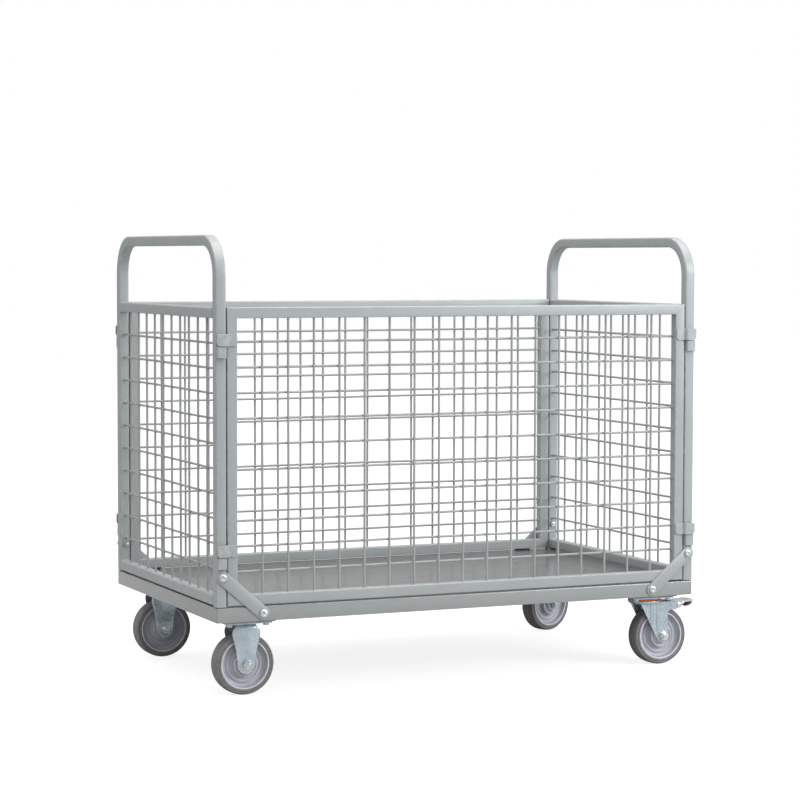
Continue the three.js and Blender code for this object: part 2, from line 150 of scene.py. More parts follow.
# A flat outline made a plate with softened rims: four loops across the thickness, the outer two drawn
# in along the outline's own normals by the bevel. The outline lies in X and Z, or X and Y.
def plate(outline, low, high, bevel, plane="xz"):
    outline = np.asarray(outline, float)
    along = np.roll(outline, -1, 0) - np.roll(outline, 1, 0)
    along /= np.linalg.norm(along, axis=1, keepdims=True)
    area = np.sum(outline[:, 0] * np.roll(outline[:, 1], -1) - np.roll(outline[:, 0], -1) * outline[:, 1])
    inward = np.stack([-along[:, 1], along[:, 0]], -1) * np.sign(area)
    inset = np.array([1, 0.3, 0, 0, 0.3, 1])[:, None, None] * bevel
    depth = np.array([low, low + 0.3 * bevel, low + bevel, high - bevel, high - 0.3 * bevel, high])
    flat = outline[None] + inward[None] * inset
    depth = np.repeat(depth[:, None], len(outline), 1)
    order = [flat[..., 0], depth, flat[..., 1]] if plane == "xz" else [flat[..., 0], flat[..., 1], depth]
    mask = np.array([0, 1, 0, 0, 1, 0])[:, None]
    return skin(np.stack(order, -1), mask)


# A bent strip: a flat path in X and Y with a sheet's thickness across it and a height range that
# may change along it, which rounds the strip's free corners.
def bentStrip(path, thickness, low, high):
    path = np.asarray(path, float)
    along = np.gradient(path, axis=0)
    along /= np.linalg.norm(along, axis=1, keepdims=True)
    across = np.stack([along[:, 1], -along[:, 0]], -1)
    rim = 0.22 * thickness
    side = np.array([-1, -1, -0.56, 0.56, 1, 1, 0.56, -0.56]) * thickness / 2
    level = np.array([0, 1, 1, 1, 1, 0, 0, 0], float)
    nudge = np.array([rim, -rim, 0, 0, -rim, rim, 0, 0])
    xy = path[:, None] + across[:, None] * side[None, :, None]
    z = low[:, None] * (1 - level) + high[:, None] * level + nudge
    return skin(np.concatenate([xy, z[..., None]], -1), 0.6)


# A run of weld: a round bead whose radius swells in even ripples along a straight line.
def weldBead(start, end, radius, ripple=0.0022):
    start, end = np.asarray(start, float), np.asarray(end, float)
    length = np.linalg.norm(end - start)
    rows = max(7, int(length / ripple) * 3)
    v = np.linspace(0, 1, rows)
    taper = np.sqrt(np.clip(1 - (2 * v - 1) ** 8, 0.02, 1))
    swell = radius * taper * (0.82 + 0.18 * np.abs(np.cos(v * length / ripple * np.pi)))
    direction = (end - start) / length
    side = np.cross(direction, [0.31, 0.53, 0.79])
    side /= np.linalg.norm(side)
    other = np.cross(direction, side)
    a = np.linspace(0, 2 * np.pi, 8, endpoint=False)
    circle = np.cos(a)[:, None] * side + np.sin(a)[:, None] * other
    middle = start + v[:, None] * (end - start)
    return skin(middle[:, None] + swell[:, None, None] * circle[None])


# A hexagon head or nut along Y or Z: a prism whose end corners are cut by a cone, so each end loop's
# radius is the smaller of the hexagon's own and the cone's.
def hexHead(acrossFlats, low, high, axis="y"):
    a = np.arange(6) * np.pi / 3
    radius = acrossFlats / 2 / math.cos(math.pi / 6)
    outline = softened(np.stack([np.cos(a), np.sin(a)], -1) * radius, 0.6 * mm, 2)[0]
    reach = np.linalg.norm(outline, axis=1)
    flat = acrossFlats / 2
    chamfer, drop = 0.975, 0.8 * mm
    rows = [(low, chamfer), (low + drop, 1), (high - drop, 1), (high, chamfer)]
    loops = []
    for height, share in rows:
        limit = np.minimum(reach, flat * 1.07) if share < 1 else reach
        ringXY = outline * (limit * share / reach)[:, None]
        h = np.full(len(outline), height)
        loops.append(np.stack([ringXY[:, 0], h, ringXY[:, 1]] if axis == "y" else
                              [ringXY[:, 0], ringXY[:, 1], h], -1))
    return skin(np.array(loops), np.array([1, 0.4, 0.4, 1])[:, None])


# Puts the parts of a piece into one mesh, faces its skins outwards and seats it on its body.
def makePiece(name, parts, material, body, stands):
    offset, quads, caps = 0, [], []
    for part in parts:
        quads.append(part["quads"] + offset)
        caps += [[i + offset for i in cap] for cap in part["caps"]]
        offset += len(part["points"])
    points = np.concatenate([part["points"] for part in parts])
    mesh = bpy.data.meshes.new(name)
    mesh.from_pydata(points.tolist(), [], np.concatenate(quads).tolist() + caps)
    mask = np.concatenate([part["mask"] for part in parts]).astype(np.float32)
    mesh.attributes.new("edgeMask", "FLOAT", "POINT").data.foreach_set("value", mask)
    shell = bmesh.new()
    shell.from_mesh(mesh)
    bmesh.ops.recalc_face_normals(shell, faces=shell.faces)
    shell.to_mesh(mesh)
    shell.free()
    mesh.polygons.foreach_set("use_smooth", np.ones(len(mesh.polygons), bool))
    mesh.set_sharp_from_angle(angle=math.radians(smoothAngle))
    mesh.materials.append(material)
    piece = bpy.data.objects.new(name, mesh)
    bpy.context.scene.collection.objects.link(piece)
    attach(piece, body)
    if stands:
        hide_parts(*stands)


def boxOf(node):
    low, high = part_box(node)
    return np.array(low), np.array(high)


def addNode(tree, kind, **settings):
    node = tree.nodes.new(kind)
    for key, value in settings.items():
        if key in node.inputs:
            node.inputs[key].default_value = value
        else:
            setattr(node, key, value)
    return node


def newGroup(name, inputs, outputs):
    group = bpy.data.node_groups.new(name, "ShaderNodeTree")
    for label, kind, value in inputs:
        socket = group.interface.new_socket(name=label, in_out="INPUT", socket_type=kind)
        socket.default_value = value
    for label, kind in outputs:
        group.interface.new_socket(name=label, in_out="OUTPUT", socket_type=kind)
    return group, group.nodes.new("NodeGroupInput"), group.nodes.new("NodeGroupOutput")


def noise(tree, place, scale, detail, roughness=0.55):
    node = addNode(tree, "ShaderNodeTexNoise", Scale=scale, Detail=detail, Roughness=roughness)
    tree.links.new(place, node.inputs["Vector"])
    return node.outputs["Fac"]


# Values from one range to another, held at the ends.
def ranged(tree, value, fromLow, fromHigh, toLow, toHigh):
    node = addNode(tree, "ShaderNodeMapRange")
    for label, number in (("From Min", fromLow), ("From Max", fromHigh)):
        node.inputs[label].default_value = number
    for label, number in (("To Min", toLow), ("To Max", toHigh)):
        if isinstance(number, bpy.types.NodeSocket):
            tree.links.new(number, node.inputs[label])
        else:
            node.inputs[label].default_value = number
    tree.links.new(value, node.inputs["Value"])
    return node.outputs["Result"]


def sums(tree, operation, first, second):
    node = addNode(tree, "ShaderNodeMath", operation=operation)
    for socket, value in zip(node.inputs, (first, second)):
        if isinstance(value, bpy.types.NodeSocket):
            tree.links.new(value, socket)
        else:
            socket.default_value = value
    return node.outputs[0]


def blended(tree, share, first, second, mode="MIX"):
    node = addNode(tree, "ShaderNodeMix", data_type="RGBA", blend_type=mode)
    for socket, value in zip((node.inputs[0], node.inputs[6], node.inputs[7]), (share, first, second)):
        if isinstance(value, bpy.types.NodeSocket):
            tree.links.new(value, socket)
        else:
            socket.default_value = value
    return node.outputs[2]


def objectPlace(tree):
    return tree.nodes.new("ShaderNodeTexCoord").outputs["Object"]


def scaled(tree, color, factor):
    node = addNode(tree, "ShaderNodeVectorMath", operation="SCALE")
    tree.links.new(color, node.inputs[0])
    tree.links.new(factor, node.inputs["Scale"])
    return node.outputs[0]


finishOutputs = [("Color", "NodeSocketColor"), ("Roughness", "NodeSocketFloat"),
                 ("Height", "NodeSocketFloat")]


# Wear where edges rub, and on the wheel core a painted highlight along the lip: the mesh's own edge mask,
# broken up by noise.
def edgeWearGroup():
    group, given, made = newGroup(
        "edgeWearAndHighlight",
        [("Amount", "NodeSocketFloat", 0.5), ("Patch Scale", "NodeSocketFloat", 70.0),
         ("Evenness", "NodeSocketFloat", 0.0)],
        [("Mask", "NodeSocketFloat")])
    mask = addNode(group, "ShaderNodeAttribute", attribute_name="edgeMask")
    patches = addNode(group, "ShaderNodeTexNoise", Detail=4.0, Roughness=0.65)
    group.links.new(objectPlace(group), patches.inputs["Vector"])
    group.links.new(given.outputs["Patch Scale"], patches.inputs["Scale"])
    broken = ranged(group, patches.outputs["Fac"], 0.46, 0.62, given.outputs["Evenness"], 1.0)
    maskedEdges = sums(group, "MULTIPLY", mask.outputs["Fac"], broken)
    group.links.new(sums(group, "MULTIPLY", maskedEdges, given.outputs["Amount"]), made.inputs["Mask"])
    return group


# Powder coat: orange peel, faint mottling, fine specks, a thin dusting in patches and lighter rims.
def powderCoatGroup(edgeWearAndHighlight):
    group, given, made = newGroup(
        "powderCoat",
        [("Paint", "NodeSocketColor", (0.4, 0.4, 0.4, 1)),
         ("Rim Paint", "NodeSocketColor", (0.6, 0.6, 0.6, 1)),
         ("Peel Scale", "NodeSocketFloat", 620.0), ("Mottle", "NodeSocketFloat", 0.05),
         ("Wear", "NodeSocketFloat", 0.4), ("Gloss", "NodeSocketFloat", 0.38)],
        finishOutputs)
    place = objectPlace(group)
    peel = addNode(group, "ShaderNodeTexNoise", Detail=1.5, Roughness=0.4)
    group.links.new(place, peel.inputs["Vector"])
    group.links.new(given.outputs["Peel Scale"], peel.inputs["Scale"])
    clouds = noise(group, place, 9.0, 4.0)
    specks = ranged(group, noise(group, place, 2100.0, 1.0), 0.66, 0.74, 0.0, 1.0)
    low = sums(group, "SUBTRACT", 1.0, given.outputs["Mottle"])
    high = sums(group, "ADD", 1.0, given.outputs["Mottle"])
    tone = ranged(group, clouds, 0.3, 0.7, low, high)
    toned = scaled(group, given.outputs["Paint"], tone)
    dusted = blended(group, sums(group, "MULTIPLY", specks, 0.22), toned, (0.2, 0.2, 0.2, 1))
    edgeMaskNode = addNode(group, "ShaderNodeGroup", node_tree=edgeWearAndHighlight)
    group.links.new(given.outputs["Wear"], edgeMaskNode.inputs["Amount"])
    color = blended(group, edgeMaskNode.outputs["Mask"], dusted, given.outputs["Rim Paint"])
    group.links.new(color, made.inputs["Color"])
    smears = ranged(group, noise(group, place, 34.0, 5.0, 0.7), 0.3, 0.75, -0.05, 0.09)
    group.links.new(sums(group, "ADD", given.outputs["Gloss"], smears), made.inputs["Roughness"])
    group.links.new(peel.outputs["Fac"], made.inputs["Height"])
    return group


# Zinc plate: pale blue-grey spangle with faint iridescent clouds and a stretched polish.
def zincGroup(edgeWearAndHighlight):
    group, given, made = newGroup(
        "zincPlate",
        [("Plate", "NodeSocketColor", (0.6, 0.64, 0.68, 1)),
         ("Tint", "NodeSocketColor", (0.5, 0.56, 0.66, 1)),
         ("Spangle Scale", "NodeSocketFloat", 330.0), ("Wear", "NodeSocketFloat", 0.4)],
        finishOutputs)
    place = objectPlace(group)
    cells = addNode(group, "ShaderNodeTexVoronoi")
    group.links.new(place, cells.inputs["Vector"])
    group.links.new(given.outputs["Spangle Scale"], cells.inputs["Scale"])
    grey = addNode(group, "ShaderNodeRGBToBW")
    group.links.new(cells.outputs["Color"], grey.inputs[0])
    clouds = ranged(group, noise(group, place, 38.0, 4.0), 0.35, 0.68, 0.0, 1.0)
    plated = blended(group, clouds, given.outputs["Plate"], given.outputs["Tint"])
    shade = ranged(group, grey.outputs[0], 0.0, 1.0, 0.955, 1.03)
    toned = scaled(group, plated, shade)
    edgeMaskNode = addNode(group, "ShaderNodeGroup", node_tree=edgeWearAndHighlight)
    group.links.new(given.outputs["Wear"], edgeMaskNode.inputs["Amount"])
    color = blended(group, edgeMaskNode.outputs["Mask"], toned, (0.86, 0.88, 0.9, 1))
    group.links.new(color, made.inputs["Color"])
    rough = ranged(group, grey.outputs[0], 0.0, 1.0, 0.24, 0.3)
    smudge = ranged(group, noise(group, place, 90.0, 4.0, 0.7), 0.35, 0.75, -0.03, 0.1)
    group.links.new(sums(group, "ADD", rough, smudge), made.inputs["Roughness"])
    group.links.new(noise(group, place, 1200.0, 2.0), made.inputs["Height"])
    return group


# Moulded grain for rubber and plastic: a fine stipple, slow tone changes and pale scuffs, and a painted
# highlight on the rims as strong as the rim share.
def mouldedGroup(edgeWearAndHighlight):
    group, given, made = newGroup(
        "mouldedGrain",
        [("Body", "NodeSocketColor", (0.15, 0.15, 0.15, 1)),
         ("Scuff And Highlight", "NodeSocketColor", (0.3, 0.29, 0.28, 1)),
         ("Grain Scale", "NodeSocketFloat", 1500.0), ("Scuffing", "NodeSocketFloat", 0.3),
         ("Dullness", "NodeSocketFloat", 0.7), ("Rim Highlight", "NodeSocketFloat", 0.0)],
        finishOutputs)
    place = objectPlace(group)
    grain = addNode(group, "ShaderNodeTexNoise", Detail=2.0)
    group.links.new(place, grain.inputs["Vector"])
    group.links.new(given.outputs["Grain Scale"], grain.inputs["Scale"])
    slow = ranged(group, noise(group, place, 28.0, 4.0), 0.3, 0.7, 0.88, 1.1)
    toned = scaled(group, given.outputs["Body"], slow)
    patches = ranged(group, noise(group, place, 120.0, 6.0, 0.7), 0.5, 0.72, 0.0, 1.0)
    # painted highlight: the edge mask lightens rims toward the pale colour, most on the wheel core's lip
    edgeMaskNode = addNode(group, "ShaderNodeGroup", node_tree=edgeWearAndHighlight)
    edgeMaskNode.inputs["Patch Scale"].default_value = 260.0
    edgeMaskNode.inputs["Evenness"].default_value = 0.7
    group.links.new(given.outputs["Rim Highlight"], edgeMaskNode.inputs["Amount"])
    scuffs = sums(group, "MULTIPLY", patches, given.outputs["Scuffing"])
    share = sums(group, "MAXIMUM", scuffs, edgeMaskNode.outputs["Mask"])
    group.links.new(blended(group, share, toned, given.outputs["Scuff And Highlight"]), made.inputs["Color"])
    uneven = ranged(group, grain.outputs["Fac"], 0.3, 0.7, -0.05, 0.07)
    group.links.new(sums(group, "ADD", given.outputs["Dullness"], uneven), made.inputs["Roughness"])
    group.links.new(grain.outputs["Fac"], made.inputs["Height"])
    return group


edgeWearAndHighlight = edgeWearGroup()
powderCoat = powderCoatGroup(edgeWearAndHighlight)
zincPlate = zincGroup(edgeWearAndHighlight)
mouldedGrain = mouldedGroup(edgeWearAndHighlight)
print("node groups: edge wear, powder coat, zinc plate, moulded grain")


# A Principled material that takes its colour, roughness and bump from one group.
def finish(name, group, values, bump, fixed):
    material = bpy.data.materials.new(name)
    material.use_nodes = True
    tree = material.node_tree
    shader = tree.nodes["Principled BSDF"]
    source = addNode(tree, "ShaderNodeGroup", node_tree=group)
    for label, value in values.items():
        source.inputs[label].default_value = value
    tree.links.new(source.outputs["Color"], shader.inputs["Base Color"])
    tree.links.new(source.outputs["Roughness"], shader.inputs["Roughness"])
    relief = addNode(tree, "ShaderNodeBump", Distance=bump[0], Strength=bump[1])
    tree.links.new(source.outputs["Height"], relief.inputs["Height"])
    tree.links.new(relief.outputs["Normal"], shader.inputs["Normal"])
    for label, value in fixed.items():
        shader.inputs[label].default_value = value
    return material


paints = {
    "frame": (0.262, 0.28, 0.286, 1),
    "frameRim": (0.4, 0.425, 0.43, 1),
    "wire": (0.25, 0.262, 0.257, 1),
    "wireRim": (0.38, 0.39, 0.38, 1),
    "deck": (0.228, 0.242, 0.242, 1),
    "deckRim": (0.4, 0.42, 0.415, 1),
}
# painted shade: the factor that darkens the deck's top against its skirt
deckTopShade = 0.56  # tone of the deck's top against its skirt
framePaint = finish("framePowderCoat", powderCoat, {
    "Paint": paints["frame"], "Rim Paint": paints["frameRim"], "Peel Scale": 640.0, "Mottle": 0.035,
    "Wear": 0.5, "Gloss": 0.36}, (0.00012, 0.5), {"Specular IOR Level": 0.5, "Coat Roughness": 0.25})
wirePaint = finish("wirePowderCoat", powderCoat, {
    "Paint": paints["wire"], "Rim Paint": paints["wireRim"], "Peel Scale": 900.0, "Mottle": 0.06,
    "Wear": 0.25, "Gloss": 0.4}, (0.00006, 0.4), {"Specular IOR Level": 0.5})
zinc = finish("zincPlate", zincPlate, {
    "Plate": (0.46, 0.52, 0.56, 1), "Tint": (0.36, 0.43, 0.49, 1), "Spangle Scale": 420.0, "Wear": 0.35},
    (0.00001, 0.25), {"Metallic": 0.72})
brightSteel = finish("brightSteel", zincPlate, {
    "Plate": (0.62, 0.63, 0.65, 1), "Tint": (0.5, 0.52, 0.54, 1), "Spangle Scale": 900.0, "Wear": 0.6},
    (0.00003, 0.4), {"Metallic": 1.0})
rubber = finish("tyreRubber", mouldedGrain, {
    "Body": (0.16, 0.15, 0.154, 1), "Scuff And Highlight": (0.29, 0.265, 0.245, 1), "Grain Scale": 1500.0,
    "Scuffing": 0.5, "Dullness": 0.62}, (0.00008, 0.6), {"Specular IOR Level": 0.4})
# painted highlight: the pale colour and the high rim share paint the core's lip lighter
wheelPlastic = finish("wheelCorePlastic", mouldedGrain, {
    "Body": (0.33, 0.335, 0.38, 1), "Scuff And Highlight": (0.6, 0.605, 0.65, 1), "Grain Scale": 900.0,
    "Scuffing": 0.1, "Dullness": 0.38, "Rim Highlight": 0.9}, (0.00006, 0.4), {"Specular IOR Level": 0.5})
sealPlastic = finish("sealPlastic", mouldedGrain, {
    "Body": (0.78, 0.2, 0.012, 1), "Scuff And Highlight": (0.5, 0.16, 0.03, 1), "Grain Scale": 1100.0,
    "Scuffing": 0.25, "Dullness": 0.4}, (0.00005, 0.4), {"Specular IOR Level": 0.5})


# The deck's coat is glossier, a little wavy and scuffed along its length. Its top carries painted shade: the
# tone falls from 1 down the skirt to the top-shade tone over the rolled edge, so the top reads darker than
# the skirt.
def deckFinish(top):
    material = finish("deckPowderCoat", powderCoat, {
        "Paint": paints["deck"], "Rim Paint": paints["deckRim"], "Peel Scale": 420.0, "Mottle": 0.03,
        "Wear": 0.4, "Gloss": 0.2}, (0.0001, 0.35), {"Specular IOR Level": 0.6})
    tree = material.node_tree
    shader = tree.nodes["Principled BSDF"]
    coat = next(n for n in tree.nodes if n.type == "GROUP")
    relief = next(n for n in tree.nodes if n.type == "BUMP")
    place = objectPlace(tree)
    stretch = addNode(tree, "ShaderNodeMapping", Scale=(3.0, 90.0, 1.0), Rotation=(0, 0, 0.12))
    tree.links.new(place, stretch.inputs["Vector"])
    scratches = ranged(tree, noise(tree, stretch.outputs[0], 4.0, 6.0, 0.75), 0.6, 0.66, 0.0, 1.0)
    patches = ranged(tree, noise(tree, place, 5.0, 4.0), 0.42, 0.66, 0.0, 1.0)
    scuffed = sums(tree, "MULTIPLY", scratches, patches)
    split = addNode(tree, "ShaderNodeSeparateXYZ")
    tree.links.new(place, split.inputs[0])
    # painted shade: darkens the deck's top face against its skirt
    topShade = ranged(tree, split.outputs["Z"], top - 2.5 * mm, top - 0.3 * mm, 1.0, deckTopShade)
    tone = scaled(tree, coat.outputs["Color"], topShade)
    color = blended(tree, sums(tree, "MULTIPLY", scuffed, 0.3), tone, (0.36, 0.36, 0.34, 1))
    tree.links.new(color, shader.inputs["Base Color"])
    rough = sums(tree, "ADD", coat.outputs["Roughness"], sums(tree, "MULTIPLY", scuffed, 0.16))
    tree.links.new(rough, shader.inputs["Roughness"])
    waves = sums(tree, "MULTIPLY", noise(tree, place, 7.0, 2.0), 14.0)
    tree.links.new(sums(tree, "ADD", coat.outputs["Height"], waves), relief.inputs["Height"])
    return material


deckPaint = deckFinish(boxOf("deck_platform")[1][2])
print("materials: paint, wire, deck, zinc, bright steel, rubber, wheel plastic, seal")


deck = {
    "edgeRadius": 3.2 * mm,
    "cornerRadius": 4 * mm,
    "sheet": 2 * mm,
    "lip": 20 * mm,
    "memberCorner": 3 * mm,
    "memberWall": 3 * mm,
}


# The pan is a rounded rectangle carried down a section: flat top, rolled edge, skirt, lip, and back
# up inside. Each loop is the outline drawn in by its own inset, so the sheet keeps its thickness.
def makeDeck():
    low, high = boxOf("deck_platform")
    radius, sheet, lip = deck["edgeRadius"], deck["sheet"], deck["lip"]
    top, bottom = high[2], low[2]
    roll = np.linspace(0, np.pi / 2, 7)
    inner, back = radius - sheet, roll[::-1]
    section = np.concatenate([
        np.stack([radius * (1 - np.sin(roll)), top - radius * (1 - np.cos(roll))], -1),
        [[0, bottom + 1.6 * mm], [0.45 * mm, bottom + 0.45 * mm], [1.6 * mm, bottom],
         [lip, bottom], [lip, bottom + sheet], [sheet, bottom + sheet]],
        np.stack([sheet + inner * (1 - np.sin(back)), top - sheet - inner * (1 - np.cos(back))], -1),
    ])
    mask = np.concatenate([np.sin(2 * roll), [0, 1, 0, 0.5, 0.5, 0], np.zeros(7)])
    corner = (high[:2] - low[:2]) / 2
    signs = np.array([(1, 1), (-1, 1), (-1, -1), (1, -1)], float)
    a = np.linspace(0, np.pi / 2, 6)
    arcs = np.array([0, 1, 2, 3])[:, None] * np.pi / 2 + a[None]
    directions = np.stack([np.cos(arcs), np.sin(arcs)], -1)
    r = np.maximum(deck["cornerRadius"] - section[:, 0], 0.2 * mm)
    centres = signs[None] * (corner - section[:, :1] - r[:, None])[:, None]
    xy = centres[:, :, None] + directions[None] * r[:, None, None, None]
    xy = xy.reshape(len(section), -1, 2) + (low[:2] + high[:2]) / 2
    z = np.repeat(section[:, 1:], xy.shape[1], 1)
    pan = skin(np.concatenate([xy, z[..., None]], -1), mask[:, None])
    makePiece("deck_pan", [pan], deckPaint, "cart", ["deck_platform"])
    for end in ("left", "right"):
        node = "caster_cross_member_" + end
        memberLow, memberHigh = boxOf(node)
        size, middle = memberHigh - memberLow, (memberHigh + memberLow) / 2
        half = size / 2
        box = np.array([(half[0], half[2]), (-half[0], half[2]), (-half[0], -half[2]), (half[0], -half[2])])
        outer, outerMask = softened(box, deck["memberCorner"])
        bore, _ = softened(box * (1 - deck["memberWall"] / half[[0, 2]]), deck["memberCorner"] * 0.6)
        rows = [(outer, -half[1]), (outer, half[1]), (bore, half[1]), (bore, -half[1])]
        loops = np.array([np.stack([s[:, 0], np.full(len(s), y), s[:, 1]], -1) for s, y in rows])
        tube = skin(loops + middle, outerMask[None], closedRows=True)
        makePiece("cross_member_" + end, [tube], framePaint, "cart", [node])


makeDeck()
print("deck: pan and cross members")


hoop = {
    "tube": 25 * mm,
    "corner": 4.2 * mm,
    "bendRadius": 94 * mm,  # outside of the bend
    "bendSteps": 18,
    "weld": 1.9 * mm,
    "footGap": 1.2 * mm,  # the seam under each leg, bridged by its welds inside
}
socket = {
    "width": 23 * mm,
    "height": 26 * mm,
    "out": 8 * mm,
    "sheet": 2.2 * mm,
    "hookDrops": (88 * mm, 569 * mm),  # from the top of the panel down to the underside of each hook
}


# The hoop's centre line: up one leg, a quarter turn, across, a quarter turn and down.
def hoopPath(x, halfSpan, foot, top, radius, steps):
    turn = np.linspace(0, np.pi / 2, steps + 1)
    left = np.stack([-halfSpan + radius * (1 - np.cos(turn)), top - radius * (1 - np.sin(turn))], -1)
    right = np.stack([-left[::-1, 0], left[::-1, 1]], -1)
    yz = np.concatenate([[(-halfSpan, foot)], [(-halfSpan, top - radius - 60 * mm)], left, right,
                         [(halfSpan, top - radius - 60 * mm)], [(halfSpan, foot)]])
    return np.concatenate([np.full((len(yz), 1), x), yz], 1)


# A strap socket: a strip bent into a low bridge over the hoop's leg, open above and below.
def socketStrap(middleX, faceY, outwards, top):
    half, out = socket["width"] / 2, socket["out"] - socket["sheet"] / 2
    foot, shoulder = half - 0.6 * mm, half - 1.1 * mm
    line = [(-foot, -0.3 * mm), (-shoulder, out), (shoulder, out), (foot, -0.3 * mm)]
    path, _ = softened(line, 2.6 * mm, 5, closed=False)
    path = path * np.array([1, outwards]) + np.array([middleX, faceY])
    level = np.full(len(path), top)
    return bentStrip(path, socket["sheet"], level - socket["height"], level)


def makeEnds():
    deckLow, deckHigh = boxOf("deck_platform")
    deckTop = deckHigh[2]
    tube = hoop["tube"]
    section, mask = squareSection(tube, hoop["corner"])
    for end, side in (("left", -1), ("right", 1)):
        x = (deckLow[0] if side < 0 else deckHigh[0]) - side * tube / 2
        top = boxOf("end_hoop_" + end)[1][2]
        halfSpan = (deckHigh[1] - deckLow[1]) / 2 - tube / 2
        radius = hoop["bendRadius"] - tube / 2
        path = hoopPath(x, halfSpan, deckTop + hoop["footGap"], top - tube / 2, radius, hoop["bendSteps"])
        arch = carried(section, mask, path, (1, 0, 0))
        parts = [arch]
        for t in (-1, 1):
            face = t * (halfSpan + tube / 2)
            parts += [socketStrap(x, face, t, z - 1 * mm) for z in hookHeights()]
            legInner = t * (halfSpan - tube / 2)
            w = hoop["weld"]
            corner = [(x - tube / 2 + 3 * mm, legInner, deckTop), (x + tube / 2 - 3 * mm, legInner, deckTop)]
            parts.append(weldBead(corner[0], corner[1], w))
            inside = x - side * tube / 2
            seam = [(inside, face - t * 4 * mm, deckTop), (inside, legInner + t * 3 * mm, deckTop)]
            parts.append(weldBead(seam[0], seam[1], w))
        makePiece("hoop_" + end, parts, framePaint, "cart", ["end_hoop_" + end])
        for level in ("top", "bottom"):
            node = "end_%s_rail_%s" % (level, end)
            low, high = boxOf(node)
            z = (low[2] + high[2]) / 2
            reach = halfSpan - tube / 2 + 0.05 * mm
            run = np.array([(x, -reach, z), (x, reach, z)])
            rail = carried(section, mask, run, (1, 0, 0))
            beads = []
            for t in (-1, 1):
                for face in (-1, 1):
                    height = z + face * tube / 2
                    ends = [(x - 8 * mm, t * reach, height), (x + 8 * mm, t * reach, height)]
                    beads.append(weldBead(ends[0], ends[1], 1.5 * mm))
            makePiece("%s_rail_%s" % (level, end), [rail] + beads, framePaint, "cart", [node])


# The undersides of the hooks, from the top of the panel down.
def hookHeights():
    top = boxOf("front_panel_top_rail")[1][2]
    return [top - drop for drop in socket["hookDrops"]]


makeEnds()
print("ends: hoops, sockets, rails, welds")


wires = {
    "radius": 2.75 * mm,
    "bite": 0.8 * mm,
    "sides": 10,
    "rows": 13,
    "wander": 0.35 * mm,  # how far a wire strays from straight
    "spot": (3.2 * mm, 1.9 * mm, 3.2 * mm),
    "foot": (4.2 * mm, 3.9 * mm, 2.0 * mm),  # the weld where an upright meets a rail
    "tip": (2.0 * mm, 3.9 * mm, 4.2 * mm),
    "panel": {"upright": 17, "level": 10, "low": 51.2 * mm, "high": 53.7 * mm},
    "end": {"upright": 10, "level": 10, "low": 57.2 * mm, "high": 57.2 * mm},
}


# Many straight wires at once. Point = base + length v * along + r (cos a * side + sin a * other), and
# each wire strays from straight by two slow sines of its own phase that fade out at its ends.
def wireRun(bases, along, length, side, other, seed):
    chance = np.random.default_rng(seed)
    count, rows, sides = len(bases), wires["rows"], wires["sides"]
    v = np.linspace(0, 1, rows)
    phase = chance.uniform(0, 2 * np.pi, (count, 2, 1))
    fade = np.sin(np.pi * v)
    stray = wires["wander"] * fade * np.sin(2 * np.pi * v * np.array([[1.0], [1.5]]) + phase)
    a = np.linspace(0, 2 * np.pi, sides, endpoint=False)
    circle = wires["radius"] * (np.cos(a)[:, None] * side + np.sin(a)[:, None] * other)
    middle = np.asarray(bases)[:, None] + v[None, :, None] * length * along
    middle = middle + stray[:, 0, :, None] * side + stray[:, 1, :, None] * other * 0.4
    loops = middle[:, :, None] + circle[None, None]
    one = skin(loops[0])
    shift = np.arange(count) * rows * sides
    return {
        "points": loops.reshape(-1, 3),
        "quads": (one["quads"][None] + shift[:, None, None]).reshape(-1, 4),
        "caps": [(np.array(cap) + s).tolist() for s in shift for cap in one["caps"]],
        "mask": np.zeros(count * rows * sides),
    }


# A flattened bead of few faces, for each spot weld: an ellipsoid with radii along three axes.
def spot(radii):
    profile = np.array([(0.35, -0.94), (0.87, -0.5), (1, 0), (0.87, 0.5), (0.35, 0.94)])
    bead = turned(profile, 0.3, 7, closed=False)
    return {**bead, "points": bead["points"] * np.array(radii)}


# Worked out with its wires along X and Z and the outside towards -Y, then turned to its wall.
def makeMesh(node, name, kind, angle, body, seed):
    low, high = boxOf(node)
    layout = wires[kind]
    middle = (low + high) / 2
    size = high - low
    half = (size[0] if abs(math.sin(angle)) < 0.5 else size[1]) / 2 + 0.3 * mm
    bottom, top = low[2] - 0.3 * mm, high[2] + 0.3 * mm
    pitch = 2 * half / (layout["upright"] + 1)
    xs = -half + pitch * np.arange(1, layout["upright"] + 1)
    zs = np.linspace(bottom + layout["low"] + 0.3 * mm, top - layout["high"], layout["level"])
    depth = wires["radius"] - wires["bite"] / 2
    up, across, out = np.array([0, 0, 1.0]), np.array([1.0, 0, 0]), np.array([0, -1.0, 0])
    flat = np.zeros(len(xs))
    uprights = wireRun(np.stack([xs, flat - depth, flat + bottom], -1), up, top - bottom, across, out, seed)
    flat = np.zeros(len(zs))
    levels = wireRun(np.stack([flat - half, flat + depth, zs], -1), across, 2 * half, up, out, seed + 1)
    gridX, gridZ = np.meshgrid(xs, zs)
    crossings = np.stack([gridX.ravel(), np.zeros(gridX.size), gridZ.ravel()], -1)
    welds = repeated(spot(wires["spot"]), crossings)
    upEnds = np.array([(x, -depth, z) for z in (bottom, top) for x in xs])
    sideEnds = np.array([(x, depth, z) for x in (-half, half) for z in zs])
    feet = repeated(spot(wires["foot"]), upEnds)
    tips = repeated(spot(wires["tip"]), sideEnds)
    at = (middle[0], middle[1], 0)
    if body == "cart":
        at = (middle[0], 0, 0)
    parts = [placed(part, at, angle) for part in (uprights, levels, welds, feet, tips)]
    makePiece(name, parts, wirePaint, body, [node])


